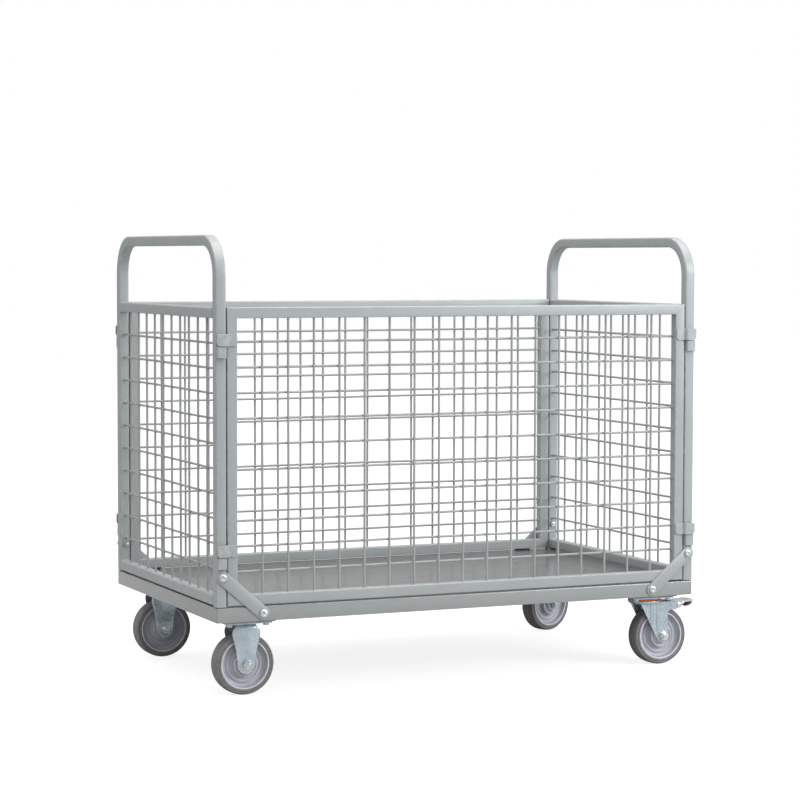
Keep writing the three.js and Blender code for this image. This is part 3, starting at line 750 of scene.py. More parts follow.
def makeMeshes():
    makeMesh("front_panel_mesh", "front_panel_wires", "panel", 0.0, "front_panel", 3)
    makeMesh("rear_panel_mesh", "rear_panel_wires", "panel", math.pi, "rear_panel", 11)
    makeMesh("end_mesh_left", "end_wires_left", "end", -math.pi / 2, "cart", 23)
    makeMesh("end_mesh_right", "end_wires_right", "end", math.pi / 2, "cart", 37)


makeMeshes()
print("meshes: round wires with spot welds")


panel = {
    "tube": 25 * mm,
    "corner": 3.4 * mm,
    "gap": 0.3 * mm,
    "weld": 1.7 * mm,
}
hook = {"strap": 23 * mm, "height": 28 * mm, "sheet": 3 * mm, "reach": 10 * mm, "corner": 7 * mm}


# The bottom edge lifts near a strip's free ends by r - sqrt(r^2 - (r - d)^2), which rounds them.
def roundedLow(distance, radius):
    near = np.clip(radius - distance, 0, radius)
    return radius - np.sqrt(radius ** 2 - near ** 2)


def hookParts(stileSide, faceY, side, out, bottom, hoopMiddle):
    sheet, reach, height = hook["sheet"], hook["reach"], hook["height"]
    tip = hook["strap"] / 2 + abs(hoopMiddle - stileSide) + 1 * mm
    ear = reach - sheet / 2
    line = [(-hook["strap"], sheet / 2), (-1.5 * mm, sheet / 2), (2.2 * mm, ear), (tip, ear)]
    path, _ = softened(line, [0, 3 * mm, 3 * mm, 0], 6, closed=False)
    dense = np.concatenate([
        np.linspace(path[0], path[1], 9)[:-1], path[1:-1], np.linspace(path[-2], path[-1], 12)[1:]])
    steps = np.linalg.norm(np.diff(dense, axis=0), axis=1)
    gone = np.concatenate([[0], np.cumsum(steps)])
    fromEnd = gone[-1] - gone
    rise = roundedLow(fromEnd, hook["corner"]) + roundedLow(gone, 5 * mm)
    drop = roundedLow(fromEnd, 2.5 * mm) + roundedLow(gone, 2.5 * mm)
    low, high = bottom + rise, bottom + height - drop
    placedPath = dense * np.array([side, out]) + np.array([stileSide, faceY])
    strap = bentStrip(placedPath, sheet, low, high)
    # the tongue behind the ear: a tapered flat that goes down into the socket
    outline, _ = softened([(-7, 3), (7, 3), (7, -16), (3.5, -22), (-3.5, -22), (-7, -16)], 1.6, 3)
    outline = outline * mm + np.array([hoopMiddle, bottom])
    faces = sorted([faceY + out * 1.5 * mm, faceY + out * 4.2 * mm])
    tongue = plate(outline, faces[0], faces[1], 0.4 * mm)
    shelfFaces = sorted([faceY + out * 1.5 * mm, faceY + out * 8 * mm])
    shelf, _ = softened([(-7, 0.2), (7, 0.2), (7, 3), (-7, 3)], 0.5, 2)
    bridge = plate(shelf * mm + np.array([hoopMiddle, bottom]), shelfFaces[0], shelfFaces[1], 0.3 * mm)
    return [strap, tongue, bridge]


def makePanels():
    tube = panel["tube"]
    section, mask = squareSection(tube, panel["corner"])
    for side, t in (("front", -1), ("rear", 1)):
        topLow, topHigh = boxOf(side + "_panel_top_rail")
        bottomLow, _ = boxOf(side + "_panel_bottom_rail")
        x0, x1 = topLow[0] - panel["gap"] - tube / 2, topHigh[0] + panel["gap"] + tube / 2
        z0, z1 = bottomLow[2] + tube / 2, topHigh[2] - tube / 2
        y = (topLow[1] + topHigh[1]) / 2
        face = y + t * tube / 2
        path = np.array([(x0, y, z0), (x1, y, z0), (x1, y, z1), (x0, y, z1)])
        border = carried(section, mask, path, (0, 1, 0), closed=True)
        parts = [border]
        for cx in (x0 + tube / 2, x1 - tube / 2):
            for cz in (z0 + tube / 2, z1 - tube / 2):
                parts.append(weldBead((cx, y - 9 * mm, cz), (cx, y + 9 * mm, cz), panel["weld"]))
        # a dressed weld line over each mitre, inside and outside face
        for cx, sx in ((x0, -1), (x1, 1)):
            for cz, sz in ((z0, -1), (z1, 1)):
                for f in (-1, 1):
                    a = np.array((cx - sx * 9 * mm, y + f * (tube / 2 - 0.35 * mm), cz - sz * 9 * mm))
                    b = np.array((cx + sx * 8 * mm, y + f * (tube / 2 - 0.35 * mm), cz + sz * 8 * mm))
                    parts.append(weldBead(a, b, 0.62 * mm, 3 * mm))
        members = ("top_rail", "bottom_rail", "stile_left", "stile_right")
        stands = [side + "_panel_" + member for member in members]
        makePiece(side + "_panel_frame", parts, framePaint, side + "_panel", stands)
        for end, s in (("left", -1), ("right", 1)):
            hoopLow, hoopHigh = boxOf("end_hoop_" + end)
            middle = (hoopLow[0] + hoopHigh[0]) / 2
            stileSide = (x0 if s < 0 else x1) + s * tube / 2
            for level, bottom in zip(("upper", "lower"), hookHeights()):
                made = hookParts(stileSide, face, s, t, bottom, middle)
                strapEnd = stileSide - s * hook["strap"]
                z = (bottom + 4 * mm, bottom + hook["height"] - 4 * mm)
                edge = face + t * 0.6 * mm
                made.append(weldBead((strapEnd, edge, z[0]), (strapEnd, edge, z[1]), 1.3 * mm))
                name = "hook_%s_%s_%s" % (side, end, level)
                makePiece(name, made, framePaint, side + "_panel", ())


makePanels()
print("panels: mitred frames and hooks")


brace = {"width": 30 * mm, "bevel": 0.7 * mm, "arcSteps": 20}
screw = {
    "head": 10 * mm,
    "height": 4.5 * mm,
    "socket": 6 * mm,
    "socketDepth": 3.7 * mm,
    "shank": 4 * mm,
    "dome": [(0.62, 0.97), (0.78, 0.86), (0.9, 0.66), (0.975, 0.4), (1, 0.16)],  # shares of radius and height
    "nutFlats": 13 * mm,
    "nutHeight": 6.5 * mm,
    "nutSeat": 8 * mm,  # how far the shank runs past the nut
}


# A bar with round ends: two half circles about its end points, joined by straights.
def barOutline(start, end, half, steps):
    start, end = np.asarray(start), np.asarray(end)
    heading = math.atan2(*(end - start)[::-1])
    a = np.linspace(-np.pi / 2, np.pi / 2, steps) + heading
    b = a + np.pi
    first = end + half * np.stack([np.cos(a), np.sin(a)], -1)
    second = start + half * np.stack([np.cos(b), np.sin(b)], -1)
    return np.concatenate([first, second])


# A domed head with a hexagon socket, turned about Y. The socket's wall is a loop whose radius is the
# hexagon's own, R / cos((a mod 60) - 30), and the loops outside it are plain circles.
def screwHead(outward):
    segments = 48
    a = np.linspace(0, 2 * np.pi, segments, endpoint=False)
    hexRadius = screw["socket"] / 2 / np.cos(np.mod(a, np.pi / 3) - np.pi / 6)
    circle = np.ones(segments)
    height, floor = screw["height"], screw["height"] - screw["socketDepth"]
    rim = circle * screw["head"]
    rows = [(hexRadius * 0.6, floor - 0.5 * mm), (hexRadius, floor), (hexRadius, height - 0.35 * mm),
            (hexRadius + 0.45 * mm, height)]
    rows += [(rim * across, height * up) for across, up in screw["dome"]]
    rows += [(rim, 0.15 * mm), (rim * 0.97, 0)]
    loops = [np.stack([r * np.cos(a), np.full(segments, outward * h), r * np.sin(a)], -1) for r, h in rows]
    mask = np.array([0, 0.3, 0, 1, 0.2, 0, 0, 0.2, 0.6, 0.3, 0])[:, None]
    return skin(np.array(loops), mask)


def makeBraces():
    for side, t in (("front", -1), ("rear", 1)):
        for end, s in (("left", -1), ("right", 1)):
            node = "corner_brace_%s_%s" % (side, end)
            low, high = boxOf(node)
            half = brace["width"] / 2
            foot = (low[0] + half if s > 0 else high[0] - half, low[2] + half)
            top = (high[0] - half if s > 0 else low[0] + half, high[2] - half)
            outline = barOutline(foot, top, half, brace["arcSteps"])
            bar = plate(outline, low[1], high[1], brace["bevel"])
            makePiece("brace_%s_%s" % (side, end), [bar], framePaint, "cart", [node])
            for level in ("upper", "lower"):
                node = "brace_screw_%s_%s_%s" % (side, end, level)
                low, high = boxOf(node)
                x, z = (low[0] + high[0]) / 2, (low[2] + high[2]) / 2
                outer, inner = (high[1], low[1]) if t > 0 else (low[1], high[1])
                seat = outer - t * screw["height"]
                parts = [placed(screwHead(t), (x, seat, z))]
                reach = sorted([seat, inner])
                core, shank = 0.5 * mm, screw["shank"]
                line = [(core, reach[0]), (shank, reach[0]), (shank, reach[1]), (core, reach[1])]
                rod, rodMask = softened(line, [0, 0.6 * mm, 0.6 * mm, 0], 2)
                parts.append(placed(turned(rod, rodMask, 20, "y"), (x, 0, z)))
                nutFace = inner + t * screw["nutSeat"]
                nut = sorted([nutFace, nutFace - t * screw["nutHeight"]])
                parts.append(placed(hexHead(screw["nutFlats"], nut[0], nut[1]), (x, 0, z)))
                name = "screw_%s_%s_%s" % (side, end, level)
                makePiece(name, parts, brightSteel, "cart", [node])


makeBraces()
print("braces: bars, screws, nuts")


wheel = {
    "segments": 112,
    # painted highlight: the lip beyond this radius and depth is painted lighter
    "lip": (56.3 * mm, 19.6 * mm),  # the core's lip lies beyond this radius and depth
}

# (radius, distance from the wheel's middle plane) in mm, one half; the other half is its mirror
tyreHalf = [(59.9, 0), (59.9, 19.4), (60.6, 21), (62.6, 21.5), (63.9, 21.3), (64.4, 19.6), (65.7, 19.4),
            (66.3, 20.7), (68.2, 20.5), (70.2, 19), (71.2, 16.8), (71.9, 14.4), (72.2, 13.2),
            (71.3, 12.5), (72.2, 11.7), (72.5, 9), (72.5, 0)]
coreHalf = [(6.6, 0), (6.6, 21.6), (9, 23.6), (13, 24), (18, 24), (21, 23.4), (22, 20.4), (24.4, 20.2),
            (25.4, 22.8), (27.4, 22.9), (28.6, 21.4), (29.6, 11.6), (31.6, 9), (37.6, 8), (39.2, 10.6),
            (43.2, 10.6), (44.8, 7.6), (49.6, 7.4), (52.6, 10), (54.9, 17.6), (55.6, 20), (56.6, 20.9),
            (58.8, 20.9), (59.6, 19.8), (59.6, 0)]


# Mirrors a half profile in the wheel's middle plane and closes it into a loop of (radius, y).
def fullProfile(half, reach):
    half = np.array(half, float) * mm
    both = np.concatenate([half[1:-1], half[1:-1][::-1] * np.array([1, -1])])
    return softened(both, reach, 3)


def makeWheel(name, body, angle):
    low, high = boxOf(name + "_tyre")
    middle = tuple((low + high) / 2)
    tyreLine, tyreMask = fullProfile(tyreHalf, 0.8 * mm)
    coreLine, coreMask = fullProfile(coreHalf, 1.1 * mm)
    # painted highlight: the lip gets the full edge mask and the other corners 0.7 of theirs, which the wheel
    # plastic paints lighter
    onLip = (coreLine[:, 0] > wheel["lip"][0]) & (np.abs(coreLine[:, 1]) > wheel["lip"][1])
    tyre = turned(tyreLine, tyreMask, wheel["segments"], "y")
    core = turned(coreLine, np.where(onLip, 1.0, coreMask * 0.7), wheel["segments"], "y")
    makePiece(name + "_rubber", [placed(tyre, middle, angle)], rubber, body, [name + "_tyre"])
    makePiece(name + "_wheel", [placed(core, middle, angle)], wheelPlastic, body,
              [name + "_core"])
    return middle


axleBolt = {
    "radius": 6 * mm,
    "seat": 29.5 * mm,  # the outer face of a fork leg, from the wheel's middle plane
    "washerBore": 6.3 * mm,
    "washerRadius": 12 * mm,
    "washerSheet": 2.4 * mm,
    "spare": 12.5 * mm,  # the thread's length past the nut's washer
    "flats": 18 * mm,
    "nut": 9 * mm,
    "head": 7 * mm,
}


# The axle: a bolt with a washer under its head and under its nut, along Y, in the caster's own place.
def axleParts():
    core, radius, bore, rim = 0.5 * mm, axleBolt["radius"], axleBolt["washerBore"], axleBolt["washerRadius"]
    seat = axleBolt["seat"]
    outer = seat + axleBolt["washerSheet"]
    tip = -outer - axleBolt["spare"]
    rod, mask = softened([(core, tip), (radius, tip), (radius, outer), (core, outer)], [0, 0.8 * mm, 0, 0], 3)
    parts = [turned(rod, mask, 28, "y")]
    for t in (-1, 1):
        faces = sorted([t * seat, t * outer])
        ringLine = [(bore, faces[0]), (rim, faces[0]), (rim, faces[1]), (bore, faces[1])]
        ring, ringMask = softened(ringLine, 0.5 * mm, 3)
        parts.append(turned(ring, ringMask, 40, "y"))
    parts.append(hexHead(axleBolt["flats"], -outer - axleBolt["nut"], -outer))
    parts.append(hexHead(axleBolt["flats"], outer, outer + axleBolt["head"]))
    return parts


casterPlate = {
    "sheet": 4 * mm,
    "corner": 9 * mm,
    "bevel": 0.8 * mm,
    "bolt": (45 * mm, 37 * mm),
    "flats": 13 * mm,
    "head": 4.6 * mm,
    "washer": 8 * mm,
    "washerBore": 3.4 * mm,
    "washerSheet": 1.4 * mm,
}


# A mounting plate: a rectangle with softened corners.
def plateParts(halfX, halfY, low, high):
    corners = [(halfX, halfY), (-halfX, halfY), (-halfX, -halfY), (halfX, -halfY)]
    outline, _ = softened(corners, casterPlate["corner"], 6)
    return [plate(outline, low, high, casterPlate["bevel"], "xy")]


# The four bolts under a plate, each with its washer.
def boltParts(under):
    seat, top = under - casterPlate["washerSheet"], under - 0.05 * mm
    bore, rim = casterPlate["washerBore"], casterPlate["washer"]
    washer, mask = softened([(bore, seat), (rim, seat), (rim, top), (bore, top)], 0.4 * mm, 2)
    head = hexHead(casterPlate["flats"], seat - casterPlate["head"], seat, "z")
    parts = []
    for sx in (-1, 1):
        for sy in (-1, 1):
            at = (sx * casterPlate["bolt"][0], sy * casterPlate["bolt"][1], 0)
            parts += [placed(turned(washer, mask, 28), at), placed(head, at)]
    return parts


fixedFork = {
    "sheet": 3.5 * mm,
    "inside": 25.5 * mm,
    "columns": 25,
    "crowning": 3.4 * mm,  # how far the leg bulges outwards at its middle
    "bend": 11 * mm,
    "web": (22 * mm, 21 * mm),  # half sizes of the flat between the legs
    # half width of a leg at each height above the floor, mm
    "heights": [72.5, 80, 92, 104, 118, 132, 140, 145.5, 150, 154, 158, 161, 164, 167, 170],
    "halfWidths": [22, 22.4, 23.6, 25, 28.2, 32, 33.9, 34.5, 34.1, 32.8, 30.2, 27.4, 24.6, 22.6, 22],
}


# A fork leg as rows of closed loops up its height: out along one face and back along the other. The
# face's place across the caster is inside + sheet + bulge (1 - u^2) + relief, u from -1 to 1.
def legSkin(heights, left, right, fork, outward):
    columns, inside, sheet = fork["columns"], fork["inside"], fork["sheet"]
    u = np.sin(np.linspace(-np.pi / 2, np.pi / 2, columns))
    u = 0.55 * u + 0.45 * np.linspace(-1, 1, columns)
    x = left[:, None] + (right - left)[:, None] * (u[None] + 1) / 2
    z = np.repeat(heights[:, None], columns, 1)
    lift = outward(u[None], x, z)
    rimWidth = np.minimum(0.9 * mm, 0.25 * (right - left))[:, None]
    rim = rimWidth * np.clip((np.abs(u) - 0.965) / 0.035, 0, 1)[None]
    outer = np.stack([x, inside + sheet + lift - rim * 0.9, z], -1)
    inner = np.stack([x, inside + lift + rim * 0.25, z], -1)[:, ::-1]
    mask = np.concatenate([np.abs(u) > 0.985, np.abs(u[::-1]) > 0.985]).astype(float)
    return skin(np.concatenate([outer, inner], 1), mask[None])


def fixedForkParts(axleHeight, plateLow):
    lobe = fixedFork["halfWidths"][0] * mm
    dip = np.linspace(np.pi / 2 - 0.06, 0, 14)[:-1]
    below = axleHeight - lobe * np.sin(dip)
    known = np.array(fixedFork["heights"]) * mm
    above = np.concatenate([np.linspace(axleHeight, 156 * mm, 40), np.linspace(157 * mm, plateLow, 14)])
    widthAbove = np.interp(above, known, np.array(fixedFork["halfWidths"]) * mm)
    widthAbove = np.convolve(np.pad(widthAbove, 2, "edge"), [0.1, 0.2, 0.4, 0.2, 0.1], "valid")
    heights = np.concatenate([below, above])
    half = np.concatenate([lobe * np.cos(dip), widthAbove])

    def outward(u, x, z):
        rise = np.clip((z - 84 * mm) / (40 * mm), 0, 1)
        rise = rise * rise * (3 - 2 * rise)
        top = np.clip((z - (plateLow - fixedFork["bend"])) / fixedFork["bend"], 0, 1)
        bend = fixedFork["bend"] * (1 - np.sqrt(1 - 0.96 * top ** 2))
        boss = 0.8 * mm * np.exp(-((x ** 2 + (z - axleHeight) ** 2) / (15 * mm) ** 2) ** 4)
        return fixedFork["crowning"] * np.cos(np.pi / 2 * u) * rise * (1 - top) - bend + boss

    leg = legSkin(heights, -half, half, fixedFork, outward)
    webX, webY = fixedFork["web"]
    webLine, _ = softened([(-webX, -webY), (webX, -webY), (webX, webY), (-webX, webY)], 3 * mm)
    web = plate(webLine, plateLow - 3.4 * mm, plateLow + 0.2 * mm, 0.5 * mm, "xy")
    return [leg, placed(leg, mirror=(1, -1, 1)), web]


def makeFixedCasters():
    for side in ("front", "rear"):
        name = "fixed_caster_" + side
        middle = makeWheel(name, "fixed_wheel_" + side, 0.0)
        low, high = boxOf(name + "_fork")
        plateHigh = high[2]
        plateLow = plateHigh - casterPlate["sheet"]
        at = (middle[0], middle[1], 0)
        half = (high - low) / 2
        parts = fixedForkParts(middle[2], plateLow) + plateParts(half[0], half[1], plateLow, plateHigh)
        bracket = [placed(p, at) for p in parts]
        makePiece(name + "_bracket", bracket, zinc, "cart", [name + "_fork"])
        axle = [placed(p, middle) for p in axleParts()]
        makePiece(name + "_bolt", axle, brightSteel, "cart", [name + "_axle"])
        bolts = [placed(p, at) for p in boltParts(plateLow)]
        makePiece(name + "_plate_bolts", bolts, zinc, "cart", ())


makeFixedCasters()
print("fixed casters: brackets, wheels, bolts")


swivelFork = {
    "sheet": 3.5 * mm,
    "inside": 25.5 * mm,
    "columns": 73,
    "lobe": 17 * mm,
    "top": 158 * mm,
    "leadTop": -27 * mm,  # where the slanted edge meets the crown
    "ribs": [(5 * mm, 4.2 * mm, 100 * mm), (23 * mm, 4.4 * mm, 80 * mm)],  # middle, half width, lower end
    "ribHeight": 3.0 * mm,
    # trailing edge from the swivel axis at each height, mm
    "heights": [72.5, 100, 126, 131, 134.5, 137, 138.6, 140.4, 143, 147, 150, 152.6, 154.6, 156, 157, 158],
    "trailing": [53, 52.2, 51.6, 52.4, 55.5, 61, 74, 85, 89.6, 91, 90.3, 88, 84, 77, 69.5, 62],
}


# The crown: a pressed ring with a rolled rim over the ball race, turned about the swivel axis. Its
# profile's heights are from the top of the crown, in mm.
crownProfile = [(21, -7), (30, -7.4), (34.5, -8.8), (38.5, -8.6), (41.2, -6.4), (42, -3.4),
                (41.6, -0.8), (40, 0), (36.5, -0.2), (35, -1.2), (31, -1.2), (29.5, -0.2), (21, -0.2)]


def crownParts(top):
    points, mask = softened(np.array(crownProfile) * mm + np.array([0, top]), 1.2 * mm, 3)
    return [turned(points, mask, 72)]


def swivelForkParts(trail, axleHeight, crownTop):
    lobe = swivelFork["lobe"]
    dip = np.linspace(np.pi / 2 - 0.06, 0, 12)[:-1]
    below = axleHeight - lobe * np.sin(dip)
    lower, upper = np.linspace(axleHeight, 130 * mm, 26), np.linspace(130 * mm, swivelFork["top"], 40)
    above = np.concatenate([lower[:-1], upper])
    heights = np.concatenate([below, above])
    known = np.array(swivelFork["heights"]) * mm
    right = np.interp(above, known, np.array(swivelFork["trailing"]) * mm)
    right = np.convolve(np.pad(right, 1, "edge"), [0.2, 0.6, 0.2], "valid")
    right = np.concatenate([trail + lobe * np.cos(dip), right])
    # the slanted edge touches the lobe and runs up to the crown in a straight line
    touchX, touchZ = trail - 0.93 * lobe, axleHeight - 0.36 * lobe
    slope = (swivelFork["leadTop"] - touchX) / (swivelFork["top"] - touchZ)
    line = touchX + slope * (heights - touchZ)
    inLobe = np.clip(lobe ** 2 - (heights - axleHeight) ** 2, 1e-9, None)
    left = np.where(heights < touchZ, trail - np.sqrt(inLobe), line)

    def outward(u, x, z):
        relief = np.zeros_like(x)
        for middle, half, end in swivelFork["ribs"]:
            up = np.clip((z - end) / (12 * mm), 0, 1)
            relief = relief + swivelFork["ribHeight"] * up * np.exp(-((x - middle) / half) ** 6)
        boss = 0.7 * mm * np.exp(-(((x - trail) ** 2 + (z - axleHeight) ** 2) / (13.5 * mm) ** 2) ** 4)
        edge = 1.5 * mm * np.exp(-((u + 1) / 0.045) ** 2) * (z > axleHeight)
        return relief + boss + edge * 0.8

    leg = legSkin(heights, left, right, swivelFork, outward)
    return [leg, placed(leg, mirror=(1, -1, 1))] + crownParts(crownTop)


pedal = {
    "halfWidth": 24 * mm,
    "rows": 33,
    "pivot": (82, 147),
    # the tread's folded sheet in X and Z from the swivel axis, mm
    "tread": [(72, 152), (72, 155), (98, 158.2), (112, 157.6), (125, 159.4), (130.2, 158.4), (131, 154),
              (129.6, 149), (124.6, 145.6), (106, 141.6), (105.2, 144.4), (122.6, 149), (127.4, 151.4),
              (127.8, 154.4), (125.4, 156.2), (112, 154.6), (98, 155.2)],
    "cheek": [(73, 154), (75, 144), (77.5, 139.6), (82, 138.2), (86.5, 139.8), (92, 144), (104, 155)],
    "shoe": [(75, 154), (76, 137), (79.2, 133.6), (83, 136), (88, 155)],
    "shoeHalf": 18 * mm,
}
# (radius, place across the caster) of the pivot pin, (radius, height) of the hub and the seal, in mm
pinProfile = [(0.5, -31.5), (3.2, -31.5), (6, -30.9), (6.5, -29.6), (4, -29.5), (4, 29.5), (6.5, 29.6),
              (6, 30.9), (3.2, 31.5), (0.5, 31.5)]
hubProfile = [(0.5, 0), (22, 0), (24, 1.6), (24, 5.4), (20, 5.7), (20, 20.2), (0.5, 20.2)]
hubRounding = [0, 0.8 * mm, 0.8 * mm, 0.4 * mm, 0, 0, 0]
sealProfile = [(30, 0.1), (38.6, 0.1), (40, 0.9), (40.2, 2.4), (39.3, 3.1), (40.2, 3.8), (40, 5.3),
               (38.6, 6), (30, 6)]


# The tread is its folded section carried across the pedal: each row is drawn back towards the pivot
# by a share that grows with the fourth power of its place across, and dips at the rims.
def treadPart():
    outline, mask = softened(np.array(pedal["tread"]) * mm, 1.3 * mm, 3)
    v = np.sin(np.linspace(-np.pi / 2, np.pi / 2, pedal["rows"]))
    y = v * pedal["halfWidth"]
    px, pz = pedal["pivot"][0] * mm, pedal["pivot"][1] * mm
    draw = 1 - 0.14 * np.abs(v) ** 4
    x = px + (outline[None, :, 0] - px) * draw[:, None]
    z = outline[None, :, 1] - 1.3 * mm * np.abs(v[:, None]) ** 8
    bead = 0.7 * mm * np.exp(-((y[:, None] / (5 * mm)) ** 4)) * (outline[None, :, 1] > pz + 6 * mm)
    loops = np.stack([x, np.repeat(y[:, None], len(outline), 1), z + bead], -1)
    return skin(loops, mask[None])


def pedalParts():
    half = pedal["halfWidth"]
    cheek, _ = softened(np.array(pedal["cheek"]) * mm, 2 * mm, 4)
    shoe, _ = softened(np.array(pedal["shoe"]) * mm, 1 * mm, 3)
    cheeks = [plate(cheek, *sorted([t * (half - 3 * mm), t * (half - 0.2 * mm)]), 0.5 * mm) for t in (-1, 1)]
    return [treadPart(), plate(shoe, -pedal["shoeHalf"], pedal["shoeHalf"], 0.8 * mm)] + cheeks


def pinParts():
    px, pz = pedal["pivot"][0] * mm, pedal["pivot"][1] * mm
    points, mask = softened(np.array(pinProfile) * mm, 0.5 * mm, 2)
    return [placed(turned(points, mask, 28, "y"), (px, 0, pz))]


def makeSwivelCasters():
    for side in ("front", "rear"):
        name = "swivel_caster_" + side
        ringLow, ringHigh = boxOf(name + "_seal_ring")
        axis = (ringLow + ringHigh) / 2
        tyreLow, tyreHigh = boxOf(name + "_tyre")
        towards = (tyreLow + tyreHigh)[:2] / 2 - axis[:2]
        trail = float(np.linalg.norm(towards))
        angle = math.atan2(towards[1], towards[0])
        at = (axis[0], axis[1], 0)
        middle = makeWheel(name, "swivel_wheel_" + side, angle)
        lowBox, highBox = boxOf(name + "_top_plate")
        plateHigh = highBox[2]
        plateLow = plateHigh - casterPlate["sheet"]
        half = (highBox - lowBox) / 2
        hubLine = np.array(hubProfile) * mm + np.array([0, lowBox[2]])
        hub, hubMask = softened(hubLine, hubRounding, 3)
        parts = plateParts(half[0], half[1], plateLow, plateHigh) + [turned(hub, hubMask, 40)]
        top = [placed(p, at) for p in parts]
        makePiece(name + "_plate", top, zinc, "cart", [name + "_top_plate"])
        bolts = [placed(p, at) for p in boltParts(plateLow)]
        makePiece(name + "_plate_bolts", bolts, zinc, "cart", ())
        body = "swivel_" + side
        sealLine = np.array(sealProfile) * mm + np.array([0, ringLow[2]])
        sealPoints, sealMask = softened(sealLine, 0.6 * mm, 3)
        makePiece(name + "_seal", [placed(turned(sealPoints, sealMask, 72), at)], sealPlastic, body,
                  [name + "_seal_ring"])
        crownTop = boxOf(name + "_fork")[1][2]
        fork = [placed(p, at, angle) for p in swivelForkParts(trail, middle[2], crownTop)]
        makePiece(name + "_bracket", fork, zinc, body, [name + "_fork"])
        axle = [placed(p, middle, angle) for p in axleParts()]
        makePiece(name + "_bolt", axle, brightSteel, body, [name + "_axle"])
        pin = [placed(p, at, angle) for p in pinParts()]
        makePiece(name + "_pin", pin, brightSteel, body, [name + "_pivot_pin"])
        tread = [placed(p, at, angle) for p in pedalParts()]
        makePiece(name + "_pedal", tread, brightSteel, "brake_" + side,
                  [name + "_brake_pedal"])


makeSwivelCasters()
print("swivel casters: plates, seals, brackets, wheels, pedals")


studio = {
    "floorColor": (0.26, 0.26, 0.26, 1),  # as seen straight from the viewpoint, where the glow adds to it
    # as the cart's surfaces see it: from x = 0.1 to x = 1.7 it falls from the first tone to the second
    "floorBounce": [(0.46, 0.46, 0.455, 1), (0.34, 0.345, 0.35, 1)],
    "floorGlow": 0.83,
    "horizon": 0.5,  # the studio's brightness low down and overhead, as the surfaces see it
    "overhead": 1.75,
    # name: (place, target, size, power, colour)
    "lights": {
        "top": ((0.2, -0.6, 3.4), (0, 0, 0.3), (3.4, 2.4), 96, (1.0, 0.985, 0.955)),
        "right": ((3.2, -3.8, 2.1), (0.1, 0, 0.5), (2.0, 2.0), 195, (0.96, 0.985, 1.0)),
        "left": ((-4.4, -1.6, 1.7), (0, 0, 0.4), (2.2, 2.4), 9, (1.0, 0.97, 0.92)),
    },
}
view = {
    "place": (-2.5097, -5.6177, 1.0167),
    "target": (-0.0236, 0.0, 0.6568),
    "lens": 110.4,
    "roll": 0.107,  # degrees
}


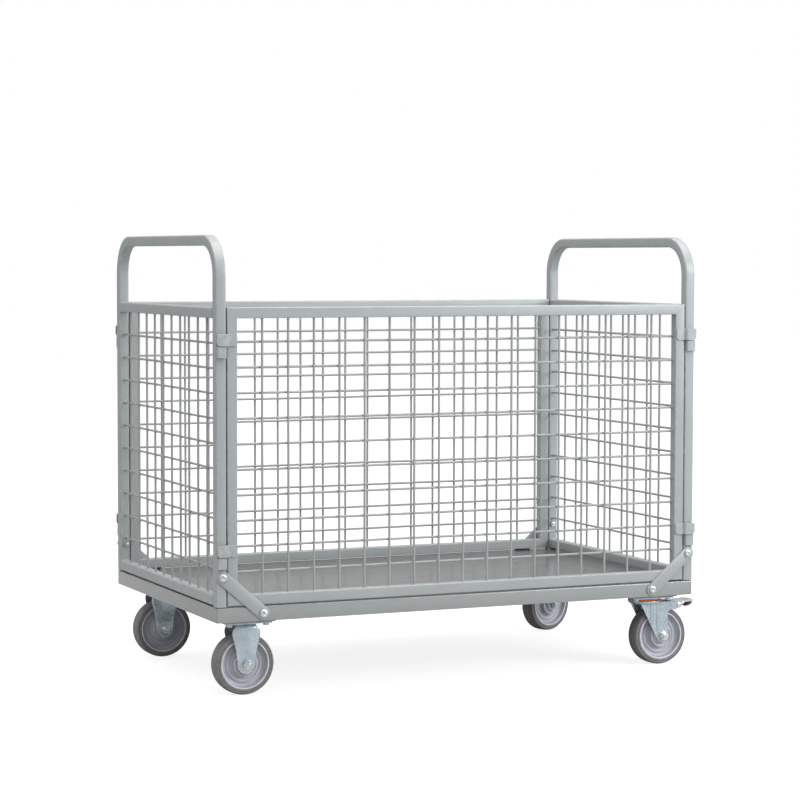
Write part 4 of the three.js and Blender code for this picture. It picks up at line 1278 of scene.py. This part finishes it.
def makeStage():
    half = 14.0
    points = np.array([(-half, -half, 0), (half, -half, 0), (half, half, 0), (-half, half, 0)])
    faces = np.array([(0, 1, 2, 3)])
    mesh = bpy.data.meshes.new("studio_floor")
    mesh.from_pydata(points.tolist(), [], faces.tolist())
    mesh.polygons.foreach_set("use_smooth", np.ones(len(mesh.polygons), bool))
    material = bpy.data.materials.new("paleFloor")
    material.use_nodes = True
    tree = material.node_tree
    shader = tree.nodes["Principled BSDF"]
    shader.inputs["Roughness"].default_value = 0.8
    shader.inputs["Specular IOR Level"].default_value = 0.1
    shader.inputs["Emission Color"].default_value = (1, 1, 1, 1)
    direct = addNode(tree, "ShaderNodeLightPath").outputs["Is Camera Ray"]
    split = addNode(tree, "ShaderNodeSeparateXYZ")
    tree.links.new(objectPlace(tree), split.inputs[0])
    bounce = blended(tree, ranged(tree, split.outputs["X"], 0.1, 1.7, 0.0, 1.0), *studio["floorBounce"])
    tone = blended(tree, direct, bounce, studio["floorColor"])
    tree.links.new(tone, shader.inputs["Base Color"])
    tree.links.new(sums(tree, "MULTIPLY", direct, studio["floorGlow"]), shader.inputs["Emission Strength"])
    mesh.materials.append(material)
    floor = bpy.data.objects.new("studio_floor", mesh)
    bpy.context.scene.collection.objects.link(floor)
    world = bpy.data.worlds.new("paleStudio")
    world.use_nodes = True
    background = world.node_tree.nodes["Background"]
    background.inputs["Color"].default_value = (1, 1, 1, 1)
    # the surroundings brighten from the horizon up, and show plain white behind the cart
    tree = world.node_tree
    direction = tree.nodes.new("ShaderNodeTexCoord")
    split = tree.nodes.new("ShaderNodeSeparateXYZ")
    tree.links.new(direction.outputs["Generated"], split.inputs[0])
    rising = ranged(tree, split.outputs["Z"], 0.0, 0.9, studio["horizon"], studio["overhead"])
    glow = sums(tree, "MULTIPLY", rising, ranged(tree, split.outputs["X"], -0.5, 0.7, 0.9, 0.62))
    seen = tree.nodes.new("ShaderNodeLightPath")
    tree.links.new(sums(tree, "MAXIMUM", glow, seen.outputs["Is Camera Ray"]), background.inputs["Strength"])
    bpy.context.scene.world = world
    for name, (place, target, size, power, color) in studio["lights"].items():
        data = bpy.data.lights.new(name + "_softbox", "AREA")
        data.shape = "RECTANGLE"
        data.size, data.size_y = size
        data.energy, data.color = power, color
        lamp = bpy.data.objects.new(name + "_softbox", data)
        lamp.location = place
        lamp.rotation_mode = "QUATERNION"
        lamp.rotation_quaternion = (Vector(target) - Vector(place)).to_track_quat("-Z", "Y")
        bpy.context.scene.collection.objects.link(lamp)
    bpy.context.scene.view_settings.view_transform = "Standard"


# The camera looks from its place at its target; right, up and back are its axes, turned by the roll.
def makeCamera():
    place, target = Vector(view["place"]), Vector(view["target"])
    back = (place - target).normalized()
    right = Vector((0, 0, 1)).cross(back).normalized()
    up = back.cross(right)
    roll = math.radians(view["roll"])
    rolledRight = right * math.cos(roll) + up * math.sin(roll)
    rolledUp = up * math.cos(roll) - right * math.sin(roll)
    data = bpy.data.cameras.new("viewpoint")
    data.lens, data.sensor_width = view["lens"], 36.0
    data.clip_start, data.clip_end = 0.1, 60.0
    camera = bpy.data.objects.new("viewpoint", data)
    turn = Matrix((rolledRight, rolledUp, back)).transposed().to_4x4()
    camera.matrix_world = Matrix.Translation(place) @ turn
    bpy.context.scene.collection.objects.link(camera)
    bpy.context.scene.camera = camera


makeStage()
makeCamera()
print("studio: floor, softboxes, camera")
